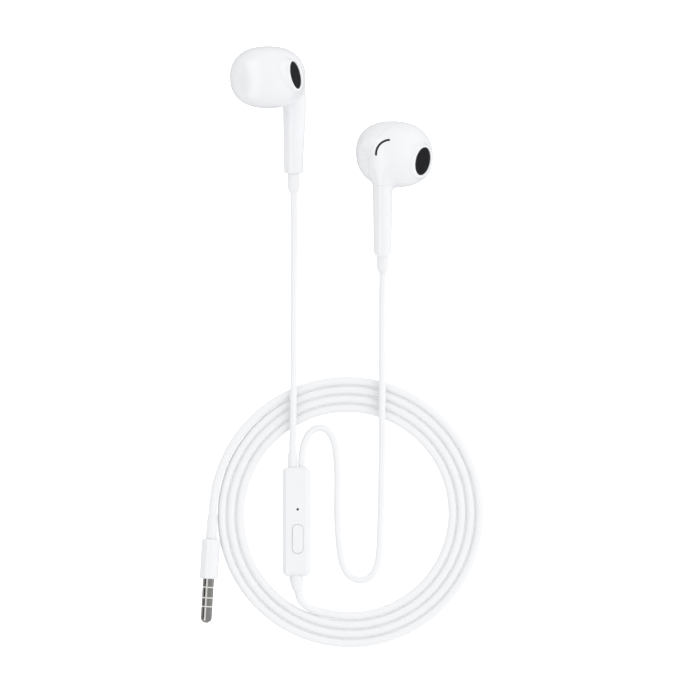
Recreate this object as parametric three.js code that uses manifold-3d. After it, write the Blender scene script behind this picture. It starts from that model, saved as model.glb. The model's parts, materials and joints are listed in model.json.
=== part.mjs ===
// Wired earphones lying on a flat surface: two stemmed earbuds on thin cords, an in-line remote with
// one button and a microphone, a trunk cord wound in a flat round coil, and a 3.5 mm four-pole plug.
//
// Millimetres, +Z up. The surface is z = 0. +X runs to the right and +Y away from the plug, as the set
// is seen from straight above. The origin lies on the surface, near the middle of the two earbuds.
import * as THREE from 'three';
import { mergeVertices } from 'three/addons/utils/BufferGeometryUtils.js';
import Module from 'manifold-3d';

// ---------------------------------------------------------------------------------------------
// Driving dimensions
// ---------------------------------------------------------------------------------------------

// Clearances between pieces
const SEAT_GAP = 0.3; // between pieces that touch inside a turned earbud, and at every cord's end
const RUN_GAP = 0.15; // round the button, in the remote's end holes and inside the plug
const FINE_GAP = 0.1; // between the poles of the jack, and between the pieces inside the remote

// Earbud, in its own frame: x to the wearer's front, y up the stem, z towards the ear.
// The stem's axis is x = 0, z = 0.
const HEAD_LENGTH = 23.8; // along x
const HEAD_HEIGHT = 19.2; // along y
const HEAD_DEPTH = 24.2; // along z
const HEAD_SQUARENESS = 2.3; // exponent of the head's rounded outline, where 2 is an ellipsoid
const HEAD_BEHIND_STEM = 8.2; // from the stem's axis back to the head's middle
const HEAD_BESIDE_STEM = 3.45; // from the stem's axis to the head's middle, towards the ear
const HEAD_BELOW = 0.4; // from the earbud's own level, y = 0, down to the head's middle
const SHELL_WALL = 1.0;
const SEAM_LEAN = 34; // degrees from the ear's direction to the front, of the seam's normal
const SEAM_SETBACK = 1.0; // from the head's middle back to the seam, along its normal

const STEM_LENGTH = 31.3; // from the earbud's own level down to the stem's end
const STEM_FRONT_BACK = 6.6; // the oval stem at its top, along x
const STEM_SIDE_SIDE = 6.1; // and along z
const STEM_TAPER = 0.89; // size of the stem's end against its top
const STEM_FULLNESS = 0.68; // how much of the taper is left at half its length
const STEM_CHAMFER = 0.5;
const STEM_WALL = 0.9;
const STEM_DOME_TOP = 0.4; // height of the stem's rounded top inside the head
const STEM_DOME_FOOT = -4.2; // height where the stem's rounded top begins
const STEM_JOINT = -5.6; // height of the front shell's edge across the stem

const NOZZLE_CENTRE = [0.78, 1.35, 12.85]; // middle of the speaker opening
const NOZZLE_NORMAL = [0.83, 0.14, 0.54];
const NOZZLE_TURN = 15; // degrees that the oval's top leans away from the front
const GRILLE_LENGTH = 9.1;
const GRILLE_WIDTH = 5.5;
const GRILLE_THICKNESS = 0.6;
const GRILLE_RECESS = 0.2;
const NOZZLE_RIM = 0.8; // width of the shell's rim round the grille
const NOZZLE_NECK_DEPTH = 4.9; // back from the speaker opening, into the head's wall
const NOZZLE_HOLE_DEPTH = 8.2; // and of the opening, through to the cavity

const VENT_RADIUS = 4.5; // the curved slot above the stem
const VENT_WIDTH = 0.7;
const VENT_FROM = -94; // degrees from upright towards the ear, of the ends of the slot's arc
const VENT_TO = -6;
const VENT_LEAN = 26.5; // degrees that the slot is cut upwards from the front
const VENT_CENTRE_Z = -1.0; // middle of the slot's arc from the head's middle
const VENT_CENTRE_UP = -0.3;
const VENT_CUT_START = 4.7; // how far out from the head's middle the cut begins, inside the cavity
const VENT_ARC_STEPS = 5;
const VENT_MESH_MARGIN = 0.5;
const VENT_MESH_THICKNESS = 0.4;

const DRIVER_ROOM = 0.95; // between the driver's edge and the shell where the head is lowest
const DRIVER_DEPTH = 3.0;
const DRIVER_BACK = -0.4; // the driver's back face from the head's middle, along the seam's normal
const DRIVER_RIM = 0.8;
const DRIVER_FLOOR = 1.0;
const DRIVER_SEAT_WIDTH = 1.1;
const DRIVER_SEAT_THICKNESS = 1.0;
const MAGNET_RADIUS = 4.6;
const MAGNET_HEIGHT = 2.3;
const DIAPHRAGM_THICKNESS = 0.35;
const DIAPHRAGM_CROWN = 0.6;
const DIAPHRAGM_HALFWAY = 0.75; // share of the crown's height at half its radius
const VOICE_COIL_RADIUS = 3.2;
const VOICE_COIL_WALL = 0.35;
const VOICE_COIL_HEIGHT = 0.5;
const DRIVER_BOARD = [5.0, 3.2, 0.6];

const LEAD_WIRE_DIAMETER = 0.8;
const LEAD_WIRE_SIDES = 6;
const LEAD_WIRE_STEPS = 14;
const LEAD_WIRE_RUN = 6; // between the points of the straight run up the stem
const LEAD_WIRE_AT_JOINT = [-0.2, STEM_JOINT - 1.5, 0];
const LEAD_WIRE_PAST_DRIVER = [1.1, -4.0, 2.6]; // beyond the driver's rim, across it and forwards
const LEAD_WIRE_AT_BOARD = [2.4, -0.4, -0.4]; // from the board's edge
const KNOT_RADIUS = 1.25;
const KNOT_LENGTH = 3.4;
const KNOT_END_RADIUS = 0.75;
const KNOT_END_TAPER = 0.85;

const RELIEF_RADIUS = 1.9; // the sleeve below the stem
const RELIEF_SLEEVE = 4.6;
const RELIEF_CONE = 1.6;
const RELIEF_TIP_RADIUS = 1.25;
const RELIEF_PLUG = 3.4; // what the relief holds inside the stem

// How the two earbuds lie
const LEFT_TILT = 7; // degrees that the stem dips from level
const RIGHT_TILT = 25;
const RIGHT_ROLL = 88; // degrees that the right earbud is rolled onto its back
const STEMS_APART_X = 28.23; // between the two earbuds' own origins
const STEMS_APART_Y = -28.28;
const EARBUDS_MIDDLE = [0.14, -0.41]; // of the box round the two earbuds, seen from above

// Cords
const EAR_CORD_DIAMETER = 2.2;
const EAR_CORD_SIDES = 8;
const EAR_CORD_STEP = 5.0;
const CORD_ROOM = 0.05; // between a lying cord and the surface
const LEFT_TIP_RISE = 3.0; // from a lying cord's middle up to the left relief's tip
const CROSSING_ROOM = 0.65; // between the coil and the middle of an ear cord's hump over it
const TRUNK_DIAMETER = 2.7;
const TRUNK_SIDES = 6;
const COIL_CENTRE = [5.5, -112.8];
const COIL_START_RADIUS = 32.3; // to the middle of the cord, at the bottom of the first loop
const COIL_GAP = 0.17; // from one loop to the next
const COIL_LOOP_STEPS = 24;
const COIL_FIRST_STEP = -1; // steps from the bottom of the first loop, where the lead joins it
const COIL_LAST_STEP = 89.75; // and where the cord leaves the last loop for the plug
const COIL_CLIMB_STEPS = 6; // steps over which the cord rises to the plug
const LEAST_COIL_GAP = 0.4;

// Remote, long along y, flat on the surface
const REMOTE_CENTRE = [-11.0, -115.1];
const REMOTE_WIDTH = 8.8;
const REMOTE_LENGTH = 34.6;
const REMOTE_THICKNESS = 5.8;
const REMOTE_CORNER = 1.6;
const REMOTE_EDGE = 0.9;
const REMOTE_WALL = 0.9;
const REMOTE_SEAM = 0.1;
const REMOTE_RELIEF_BEND = 16; // degrees that the trunk leaves the remote off its long axis

const BUTTON_WIDTH = 3.4;
const BUTTON_LENGTH = 9.2;
const BUTTON_CORNER = 1.5;
const BUTTON_PROUD = 0.4;
const BUTTON_FLANGE = 0.5;
const BUTTON_FLANGE_THICKNESS = 0.6;
const BUTTON_TRAVEL = 0.3;
const BUTTON_OFFSET = [0.4, -5.5]; // from the remote's middle
const MICROPHONE_OFFSET = [0.4, 3.9];
const MICROPHONE_HOLE = 0.75;
const MICROPHONE_DIAMETER = 3.0;
const MICROPHONE_ROOM = 0.6; // between the microphone and the mesh above it
const MICROPHONE_MESH_THICKNESS = 0.3;

const BOARD_THICKNESS = 0.6;
const BOARD_RIB_HEIGHT = 0.7;
const BOARD_RIB_WIDTH = 1.0;
const BOARD_EDGE_GAP = 0.4;
const SWITCH_SIZE = 3.4;
const SWITCH_ROOM = 0.8; // between the switch and the button's flange
const PLUNGER_DIAMETER = 1.5;

const LEFT_ENTRY_X = -1.25; // where the cords enter, from the remote's middle
const RIGHT_ENTRY_X = 1.65;
const ENTRY_SLEEVE_RADIUS = 1.5;
const ENTRY_SLEEVE_LENGTH = 4.7;
const ENTRY_NECK_RADIUS = 1.15;
const ENTRY_FLANGE_RADIUS = 1.35;
const ENTRY_FLANGE_THICKNESS = 0.7;
const TRUNK_RELIEF_RADIUS = 2.3;
const TRUNK_RELIEF_TIP_RADIUS = 1.6;
const TRUNK_RELIEF_LENGTH = 4.6;
const TRUNK_NECK_RADIUS = 1.5;
const TRUNK_RELIEF_STRAIGHT = 0.5; // before the relief begins to bend
const TRUNK_RELIEF_STEPS = 4;
const TRUNK_RELIEF_CURVE = 1.4; // above 1 the relief narrows slowly first

// Plug, in its own frame: +y towards the cord, y = 0 at the barrel's face on the jack's side
const PLUG_LEAN = 3.5; // degrees that the plug leans to the left
const BARREL_RADIUS = 2.9;
const BARREL_LENGTH = 12.7;
const BARREL_SHOULDER = 1.0;
const BARREL_EDGE = 0.3;
const BARREL_FACE_WALL = 0.9;
const BARREL_CAVITY_RADIUS = 2.1;
const BARREL_BACK_WALL = 1.4;
const PLUG_SLEEVE_RADIUS = 1.75;
const PLUG_SLEEVE_TIP_RADIUS = 1.6;
const PLUG_SLEEVE_LENGTH = 7.6;
const PLUG_NECK_RADIUS = 1.2;
const PLUG_FLANGE_RADIUS = 1.7;
const PLUG_FLANGE_THICKNESS = 1.0;
const JACK_RADIUS = 1.75; // a 3.5 mm plug
const JACK_SLEEVE = 2.5; // visible lengths of the poles, from the barrel
const JACK_LOWER_RING = 2.95;
const JACK_UPPER_RING = 2.4;
const JACK_TIP = 4.95;
const JACK_BAND = 0.4; // visible width of an insulating band
const JACK_TIP_CONE = 1.2;
const JACK_TIP_FLAT_RADIUS = 0.5;
const JACK_TIP_SHOULDER_RADIUS = 1.5;
const JACK_TIP_SHOULDER = 0.7; // from the very tip
const JACK_POLE_WALL = 0.5;
const JACK_ROD_RADIUS = 0.5;
const JACK_SLEEVE_INSIDE = 3.0; // how far the pieces run on inside the barrel
const JACK_INSULATION_INSIDE = 3.6;
const JACK_ROD_INSIDE = 4.2;
const JACK_COLLAR_RADIUS = 2.0;
const JACK_COLLAR_LENGTH = 1.2;
const SOLDER_BLOCK_LENGTH = 3.6;

// Fineness of the round pieces
const HEAD_SEGMENTS = [26, 14];
const CAVITY_SEGMENTS = [16, 9];
const ROUND_SIDES = 16;
const SMALL_ROUND_SIDES = 12;
const DOME_STEPS = 4;
const OVERREACH = 40; // longer than any earbud piece, for the blocks that cut them

// ---------------------------------------------------------------------------------------------
// Materials
// ---------------------------------------------------------------------------------------------

const material = (color, roughness, metalness = 0) => () =>
  new THREE.MeshStandardMaterial({ color, roughness, metalness });
const gloss = material(0xf1f3f5, 0.22);
const softPlastic = material(0xeceff0, 0.45);
const cordPlastic = material(0xedefee, 0.5);
const blackMesh = material(0x2b2b2d, 0.6);
const darkFrame = material(0x3a3b3d, 0.5);
const steel = material(0x9a9a98, 0.25, 1);
const nickel = material(0x8c8b88, 0.2, 1);
const film = material(0xb9c4c8, 0.3);
const boardGreen = material(0x1f5a3a, 0.5);
const copper = material(0xb87340, 0.35, 1);
const bandPlastic = material(0xe2e2de, 0.4);

// ---------------------------------------------------------------------------------------------
// Helpers
// ---------------------------------------------------------------------------------------------

const radians = (degrees) => THREE.MathUtils.degToRad(degrees);
const vector = (values) => new THREE.Vector3(...values);

const wasm = await Module();
wasm.setup();

// A closed geometry as a solid, with its vertices joined and its collapsed triangles left out.
function solidOf(geometry) {
  const bare = geometry.clone();
  bare.deleteAttribute('normal');
  bare.deleteAttribute('uv');
  const joined = mergeVertices(bare, 1e-4);
  const index = joined.index.array;
  const kept = [];
  for (let i = 0; i < index.length; i += 3) {
    const [a, b, c] = [index[i], index[i + 1], index[i + 2]];
    if (a !== b && b !== c && c !== a) kept.push(a, b, c);
  }
  return new wasm.Manifold(
    new wasm.Mesh({
      numProp: 3,
      vertProperties: new Float32Array(joined.attributes.position.array),
      triVerts: new Uint32Array(kept),
    }),
  );
}

function geometryOf(solid) {
  const mesh = solid.getMesh();
  const geometry = new THREE.BufferGeometry();
  geometry.setAttribute('position', new THREE.BufferAttribute(mesh.vertProperties, 3));
  geometry.setIndex(new THREE.BufferAttribute(mesh.triVerts, 1));
  geometry.computeVertexNormals();
  return geometry;
}

function named(name, shape, makeMaterial) {
  const geometry = shape.isBufferGeometry ? shape : geometryOf(shape);
  const mesh = new THREE.Mesh(geometry, makeMaterial());
  mesh.name = name;
  return mesh;
}

// A body turned round the y axis from [radius, y] corners, which start and end on the axis or close.
function turned(corners, sides = ROUND_SIDES) {
  return new THREE.LatheGeometry(
    corners.map(([radius, y]) => new THREE.Vector2(radius, y)),
    sides,
  );
}

// A ring or tube round the y axis, between two radii and two heights.
function ring(inner, outer, low, high, sides = ROUND_SIDES) {
  return turned([[inner, low], [outer, low], [outer, high], [inner, high], [inner, low]], sides);
}

function rod(radius, low, high, sides = ROUND_SIDES) {
  return turned([[0, low], [radius, low], [radius, high], [0, high]], sides);
}

function box(width, length, height, x, y, z) {
  return new THREE.BoxGeometry(width, length, height).translate(x, y, z);
}

function roundedOutline(width, length, corner) {
  const [x, y] = [width / 2, length / 2];
  const outline = new THREE.Shape();
  outline.moveTo(x, -y + corner);
  outline.lineTo(x, y - corner);
  outline.absarc(x - corner, y - corner, corner, 0, Math.PI / 2);
  outline.lineTo(-x + corner, y);
  outline.absarc(-x + corner, y - corner, corner, Math.PI / 2, Math.PI);
  outline.lineTo(-x, -y + corner);
  outline.absarc(-x + corner, -y + corner, corner, Math.PI, 1.5 * Math.PI);
  outline.lineTo(x - corner, -y);
  outline.absarc(x - corner, -y + corner, corner, 1.5 * Math.PI, 2 * Math.PI);
  return outline;
}

function plate(outline, thickness, z, curveSegments = 4) {
  const geometry = new THREE.ExtrudeGeometry(outline, {
    depth: thickness,
    bevelEnabled: false,
    curveSegments,
  });
  return geometry.translate(0, 0, z);
}

function ovalPlate(width, length, thickness, z) {
  const outline = new THREE.Shape();
  outline.absellipse(0, 0, width / 2, length / 2, 0, 2 * Math.PI);
  return plate(outline, thickness, z, ROUND_SIDES / 2);
}

// A tube with flat ends through ring centres, with one radius a ring. Two rings at one place make a
// step. The first corner of each ring points up.
function ringTube(centres, radii, sides) {
  const up = new THREE.Vector3(0, 0, 1);
  const positions = [];
  const index = [];
  centres.forEach((centre, i) => {
    const before = centres[Math.max(i - 1, 0)];
    const after = centres[Math.min(i + 1, centres.length - 1)];
    const along = after.clone().sub(before).normalize();
    const side = along.clone().cross(up).normalize();
    const top = side.clone().cross(along);
    for (let k = 0; k < sides; k += 1) {
      const angle = (2 * Math.PI * k) / sides;
      const point = centre.clone();
      point.addScaledVector(top, radii[i] * Math.cos(angle));
      point.addScaledVector(side, radii[i] * Math.sin(angle));
      positions.push(point.x, point.y, point.z);
    }
  });
  for (let i = 0; i + 1 < centres.length; i += 1) {
    for (let k = 0; k < sides; k += 1) {
      const [a, b] = [i * sides + k, i * sides + ((k + 1) % sides)];
      index.push(a, b, a + sides, b, b + sides, a + sides);
    }
  }
  const last = (centres.length - 1) * sides;
  for (let k = 1; k + 1 < sides; k += 1) {
    index.push(0, k + 1, k);
    index.push(last, last + k, last + k + 1);
  }
  const geometry = new THREE.BufferGeometry();
  geometry.setAttribute('position', new THREE.Float32BufferAttribute(positions, 3));
  geometry.setIndex(index);
  geometry.computeVertexNormals();
  return geometry;
}

// The frame at a place whose z axis is the normal and whose y axis is as near to up as can be.
function frameAt(origin, normal, turn = 0) {
  const z = vector(normal).normalize();
  const x = new THREE.Vector3(0, 1, 0).cross(z).normalize();
  const y = z.clone().cross(x);
  const frame = new THREE.Matrix4().makeBasis(x, y, z).setPosition(...origin);
  return frame.multiply(new THREE.Matrix4().makeRotationZ(turn));
}

// ---------------------------------------------------------------------------------------------
// Earbud
// ---------------------------------------------------------------------------------------------

const headCentre = [-HEAD_BEHIND_STEM, -HEAD_BELOW, HEAD_BESIDE_STEM];
const seamNormal = [Math.sin(radians(SEAM_LEAN)), 0, Math.cos(radians(SEAM_LEAN))];
const driverFrame = frameAt(headCentre, seamNormal);
const driverRadius = HEAD_HEIGHT / 2 - SHELL_WALL - DRIVER_ROOM;
const nozzleFrame = frameAt(NOZZLE_CENTRE, NOZZLE_NORMAL, radians(NOZZLE_TURN));

// The head's rounded body, drawn in by an inset. Its poles lie on the seam's axis.
function headBody(inset, [around, along]) {
  const half = [HEAD_LENGTH, HEAD_HEIGHT, HEAD_DEPTH].map((size) => size / 2 - inset);
  const geometry = new THREE.SphereGeometry(1, around, along).rotateX(Math.PI / 2);
  geometry.applyMatrix4(frameAt([0, 0, 0], seamNormal));
  const points = geometry.attributes.position;
  for (let i = 0; i < points.count; i += 1) {
    const point = new THREE.Vector3().fromBufferAttribute(points, i);
    const terms = point.toArray().map((value, k) => Math.abs(value / half[k]) ** HEAD_SQUARENESS);
    const reach = (terms[0] + terms[1] + terms[2]) ** (-1 / HEAD_SQUARENESS);
    point.multiplyScalar(reach);
    points.setXYZ(i, point.x, point.y, point.z);
  }
  return solidOf(geometry.translate(...headCentre));
}

// The oval stem with its rounded top, drawn in by an inset. It runs a little past its end if open.
function stemBody(inset, open = false) {
  const radius = STEM_FRONT_BACK / 2;
  const flatten = (STEM_SIDE_SIDE / 2 - inset) / (radius - inset);
  const endRadius = radius * STEM_TAPER;
  const middle = (STEM_DOME_FOOT - STEM_LENGTH) / 2;
  const corners = open
    ? [[0, -STEM_LENGTH - 1], [endRadius - inset, -STEM_LENGTH - 1]]
    : [[0, -STEM_LENGTH], [endRadius - STEM_CHAMFER - inset, -STEM_LENGTH]];
  corners.push([endRadius - inset, -STEM_LENGTH + STEM_CHAMFER]);
  corners.push([THREE.MathUtils.lerp(endRadius, radius, STEM_FULLNESS) - inset, middle]);
  for (let i = 0; i <= DOME_STEPS; i += 1) {
    const angle = (Math.PI / 2) * (i / DOME_STEPS);
    const height = STEM_DOME_TOP - STEM_DOME_FOOT - inset;
    const across = i === DOME_STEPS ? 0 : (radius - inset) * Math.cos(angle);
    corners.push([across, STEM_DOME_FOOT + height * Math.sin(angle)]);
  }
  return solidOf(turned(corners).scale(1, 1, flatten));
}

// A block on one side of the seam: in front of it for +1 and behind it for -1.
function seamBlock(side) {
  const offset = side * (OVERREACH / 2 + SEAT_GAP / 2) - SEAM_SETBACK;
  return solidOf(box(OVERREACH, OVERREACH, OVERREACH, 0, 0, offset).applyMatrix4(driverFrame));
}

function blockBelow(height) {
  return solidOf(box(OVERREACH, OVERREACH, OVERREACH, 0, height - OVERREACH / 2, 0));
}

const inNozzle = (geometry) => solidOf(geometry.applyMatrix4(nozzleFrame));
const onDriverAxis = (geometry) =>
  solidOf(geometry.rotateX(Math.PI / 2).applyMatrix4(driverFrame));

// The stem and the strip of wall behind it, which the rear shell carries, widened by a margin.
function stemNotch(margin) {
  const axis = new THREE.Vector3(0, 0, 0).applyMatrix4(driverFrame.clone().invert());
  const depth = axis.z + SEAM_SETBACK + SHELL_WALL;
  const width = STEM_SIDE_SIDE + 2 * margin;
  const strip = box(width, OVERREACH, depth, axis.x, 0, axis.z - depth / 2);
  return stemBody(-margin, true).add(solidOf(strip.applyMatrix4(driverFrame)));
}

// The curved slot above the stem, widened all round by a margin, as a block through the front wall.
function ventBlock(margin) {
  const half = VENT_WIDTH / 2 + margin;
  const [from, to] = [radians(VENT_FROM), radians(VENT_TO)];
  const onArc = (angle) => [VENT_RADIUS * Math.cos(angle), VENT_RADIUS * Math.sin(angle)];
  const outline = new THREE.Shape();
  outline.absarc(0, 0, VENT_RADIUS + half, from, to);
  outline.absarc(...onArc(to), half, to, to + Math.PI);
  outline.absarc(0, 0, VENT_RADIUS - half, to, from, true);
  outline.absarc(...onArc(from), half, from + Math.PI, from + 2 * Math.PI);
  const lean = radians(VENT_LEAN);
  const out = new THREE.Vector3(Math.cos(lean), Math.sin(lean), 0);
  const up = new THREE.Vector3(-Math.sin(lean), Math.cos(lean), 0);
  const across = new THREE.Vector3(0, 0, 1);
  const middle = vector(headCentre);
  middle.addScaledVector(up, VENT_CENTRE_UP);
  middle.addScaledVector(across, VENT_CENTRE_Z);
  const frame = new THREE.Matrix4().makeBasis(up, across, out).setPosition(middle);
  const cut = plate(outline, HEAD_LENGTH, VENT_CUT_START, VENT_ARC_STEPS);
  return solidOf(cut.applyMatrix4(frame));
}

// The ring inside the front shell that the driver is held against.
function driverSeat(head) {
  const low = DRIVER_BACK + DRIVER_DEPTH + SEAT_GAP;
  const inner = driverRadius - DRIVER_SEAT_WIDTH;
  const flat = onDriverAxis(ring(inner, HEAD_LENGTH, low, low + DRIVER_SEAT_THICKNESS));
  return flat.intersect(head).subtract(stemBody(0));
}

// A short oval neck that stands a little out of the head round the grille.
function nozzleNeck() {
  const [width, length] = [GRILLE_WIDTH + 2 * NOZZLE_RIM, GRILLE_LENGTH + 2 * NOZZLE_RIM];
  return inNozzle(ovalPlate(width, length, NOZZLE_NECK_DEPTH, -NOZZLE_NECK_DEPTH));
}

function nozzleHole() {
  const hole = ovalPlate(GRILLE_WIDTH, GRILLE_LENGTH, 2 * NOZZLE_HOLE_DEPTH, -NOZZLE_HOLE_DEPTH);
  return inNozzle(hole);
}

function earbudShells(name) {
  const head = headBody(0, HEAD_SEGMENTS);
  const cavity = headBody(SHELL_WALL, CAVITY_SEGMENTS);
  const hollow = cavity.add(stemBody(STEM_WALL, true));
  const outside = head.add(stemBody(0));
  const front = outside
    .add(nozzleNeck().subtract(cavity))
    .intersect(seamBlock(1))
    .subtract(hollow)
    .add(driverSeat(head))
    .subtract(stemNotch(SEAT_GAP).intersect(blockBelow(STEM_JOINT)))
    .subtract(nozzleHole())
    .subtract(ventBlock(0));
  const stem = outside.intersect(stemNotch(0)).intersect(blockBelow(STEM_JOINT - SEAT_GAP));
  const rear = outside.intersect(seamBlock(-1)).add(stem).subtract(hollow);
  return [
    named(`${name}_front_shell`, front, gloss),
    named(`${name}_rear_shell`, rear, gloss),
  ];
}

function earbudScreens(name) {
  const grille = inNozzle(
    ovalPlate(
      GRILLE_WIDTH - 2 * SEAT_GAP,
      GRILLE_LENGTH - 2 * SEAT_GAP,
      GRILLE_THICKNESS,
      -GRILLE_RECESS - GRILLE_THICKNESS,
    ),
  );
  const meshOutside = SHELL_WALL + SEAT_GAP;
  const mesh = headBody(meshOutside, CAVITY_SEGMENTS)
    .subtract(headBody(meshOutside + VENT_MESH_THICKNESS, CAVITY_SEGMENTS))
    .intersect(ventBlock(VENT_MESH_MARGIN));
  return [
    named(`${name}_speaker_grille`, grille, blackMesh),
    named(`${name}_vent_mesh`, mesh, blackMesh),
  ];
}

const driverFloor = DRIVER_BACK + DRIVER_FLOOR;
const magnetBack = driverFloor - MAGNET_HEIGHT;
const driverBoardMiddle = magnetBack - SEAT_GAP - DRIVER_BOARD[2] / 2;

// The speaker: a frame cup, the magnet in its floor, the domed diaphragm with its voice coil, and the
// small board behind the magnet that the wires are soldered to. All lie on the seam's axis.
function earbudDriver(name) {
  const front = DRIVER_BACK + DRIVER_DEPTH;
  const bore = MAGNET_RADIUS + SEAT_GAP;
  const cup = driverRadius - DRIVER_RIM;
  const frame = turned([
    [bore, DRIVER_BACK],
    [driverRadius, DRIVER_BACK],
    [driverRadius, front],
    [cup, front],
    [cup, driverFloor],
    [bore, driverFloor],
    [bore, DRIVER_BACK],
  ]);
  const filmEdge = cup - SEAT_GAP;
  const filmLow = front - DIAPHRAGM_CROWN - 2 * DIAPHRAGM_THICKNESS;
  const coilOutside = VOICE_COIL_RADIUS + VOICE_COIL_WALL;
  const filmHigh = filmLow + DIAPHRAGM_THICKNESS;
  const diaphragm = turned([
    [0, filmLow + DIAPHRAGM_CROWN],
    [VOICE_COIL_RADIUS / 2, filmLow + DIAPHRAGM_HALFWAY * DIAPHRAGM_CROWN],
    [VOICE_COIL_RADIUS, filmLow],
    [VOICE_COIL_RADIUS, filmLow - VOICE_COIL_HEIGHT],
    [coilOutside, filmLow - VOICE_COIL_HEIGHT],
    [coilOutside, filmLow],
    [filmEdge, filmLow],
    [filmEdge, filmHigh],
    [VOICE_COIL_RADIUS, filmHigh],
    [VOICE_COIL_RADIUS / 2, filmHigh + DIAPHRAGM_HALFWAY * DIAPHRAGM_CROWN],
    [0, filmHigh + DIAPHRAGM_CROWN],
  ]);
  const magnet = rod(MAGNET_RADIUS, magnetBack, driverFloor);
  const board = box(...DRIVER_BOARD, 0, 0, driverBoardMiddle);
  return [
    named(`${name}_driver_frame`, onDriverAxis(frame), darkFrame),
    named(`${name}_driver_magnet`, onDriverAxis(magnet), steel),
    named(`${name}_driver_diaphragm`, onDriverAxis(diaphragm), film),
    named(`${name}_driver_board`, solidOf(board.applyMatrix4(driverFrame)), boardGreen),
  ];
}

// The strain relief below the stem, the knot that keeps the cord from being pulled out, and the
// fine wires from the knot up the stem and behind the driver to its board.
function earbudWiring(name) {
  const [plugRadius, plugDepth] = [STEM_FRONT_BACK, STEM_SIDE_SIDE].map(
    (size) => (size / 2) * STEM_TAPER - STEM_WALL - SEAT_GAP,
  );
  const sleeveTop = -STEM_LENGTH - SEAT_GAP;
  const sleeveEnd = sleeveTop - RELIEF_SLEEVE;
  const plugTop = -STEM_LENGTH + RELIEF_PLUG;
  const sleeve = turned([
    [0, sleeveEnd - RELIEF_CONE],
    [RELIEF_TIP_RADIUS, sleeveEnd - RELIEF_CONE],
    [RELIEF_RADIUS, sleeveEnd],
    [RELIEF_RADIUS, sleeveTop],
    [0, sleeveTop],
  ]);
  const plug = rod(plugRadius, sleeveTop - FINE_GAP, plugTop).scale(1, 1, plugDepth / plugRadius);
  const knotLow = plugTop + SEAT_GAP;
  const knotHigh = knotLow + KNOT_LENGTH;
  const knot = turned(
    [
      [0, knotLow],
      [KNOT_END_RADIUS, knotLow],
      [KNOT_RADIUS, knotLow + KNOT_END_TAPER],
      [KNOT_RADIUS, knotHigh - KNOT_END_TAPER],
      [KNOT_END_RADIUS, knotHigh],
      [0, knotHigh],
    ],
    SMALL_ROUND_SIDES,
  );
  return [
    named(`${name}_strain_relief`, solidOf(sleeve).add(solidOf(plug)), softPlastic),
    named(`${name}_cord_knot`, solidOf(knot), cordPlastic),
    named(`${name}_lead_wires`, leadWires(knotHigh + SEAT_GAP), copper),
  ];
}

function leadWires(low) {
  const atBoard = new THREE.Vector3(DRIVER_BOARD[0] / 2 + SEAT_GAP, 0, driverBoardMiddle);
  const nearBoard = atBoard.clone().add(vector(LEAD_WIRE_AT_BOARD));
  const pastDriver = new THREE.Vector3(driverRadius, 0, driverBoardMiddle);
  pastDriver.add(vector(LEAD_WIRE_PAST_DRIVER));
  const points = [0, 1, 2].map((run) => new THREE.Vector3(0, low + run * LEAD_WIRE_RUN, 0));
  points.push(vector(LEAD_WIRE_AT_JOINT));
  for (const point of [pastDriver, nearBoard, atBoard]) points.push(point.applyMatrix4(driverFrame));
  const path = new THREE.CatmullRomCurve3(points, false, 'centripetal');
  return tubeAlong(path, LEAD_WIRE_DIAMETER / 2, LEAD_WIRE_SIDES, LEAD_WIRE_STEPS);
}

function tubeAlong(path, radius, sides, steps) {
  const corners = [];
  for (let k = 0; k < sides; k += 1) {
    const angle = (2 * Math.PI * k) / sides;
    corners.push(new THREE.Vector2(radius * Math.cos(angle), radius * Math.sin(angle)));
  }
  return new THREE.ExtrudeGeometry(new THREE.Shape(corners), {
    steps,
    bevelEnabled: false,
    extrudePath: path,
  });
}

function makeEarbud(name) {
  const earbud = new THREE.Group();
  earbud.add(...earbudShells(name));
  earbud.add(...earbudScreens(name));
  earbud.add(...earbudDriver(name));
  earbud.add(...earbudWiring(name));
  return earbud;
}

// The world box of a group's vertices.
function boxOf(group) {
  group.updateMatrixWorld(true);
  return new THREE.Box3().setFromObject(group, true);
}

function layEarbuds(left, right) {
  left.rotation.set(radians(LEFT_TILT), 0, 0);
  right.scale.set(-1, 1, 1);
  right.rotation.set(radians(RIGHT_TILT), radians(RIGHT_ROLL), 0);
  right.position.set(STEMS_APART_X, STEMS_APART_Y, 0);
  for (const earbud of [left, right]) earbud.position.z = -boxOf(earbud).min.z;
  const middle = boxOf(left).union(boxOf(right)).getCenter(new THREE.Vector3());
  for (const earbud of [left, right]) {
    earbud.position.x += EARBUDS_MIDDLE[0] - middle.x;
    earbud.position.y += EARBUDS_MIDDLE[1] - middle.y;
    earbud.updateMatrixWorld(true);
  }
}

// ---------------------------------------------------------------------------------------------
// Remote
// ---------------------------------------------------------------------------------------------

const remoteTop = REMOTE_CENTRE[1] + REMOTE_LENGTH / 2;
const remoteBottom = REMOTE_CENTRE[1] - REMOTE_LENGTH / 2;
const remoteAxis = REMOTE_THICKNESS / 2; // height of the cords' entries
const ceiling = REMOTE_THICKNESS - REMOTE_WALL;
const boardLow = REMOTE_WALL + BOARD_RIB_HEIGHT;
const boardHigh = boardLow + BOARD_THICKNESS;
const buttonAt = [REMOTE_CENTRE[0] + BUTTON_OFFSET[0], REMOTE_CENTRE[1] + BUTTON_OFFSET[1]];
const microphoneAt = [
  REMOTE_CENTRE[0] + MICROPHONE_OFFSET[0],
  REMOTE_CENTRE[1] + MICROPHONE_OFFSET[1],
];
const boardLength =
  REMOTE_LENGTH - 2 * (REMOTE_WALL + RUN_GAP + ENTRY_FLANGE_THICKNESS + BOARD_EDGE_GAP);

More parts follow.
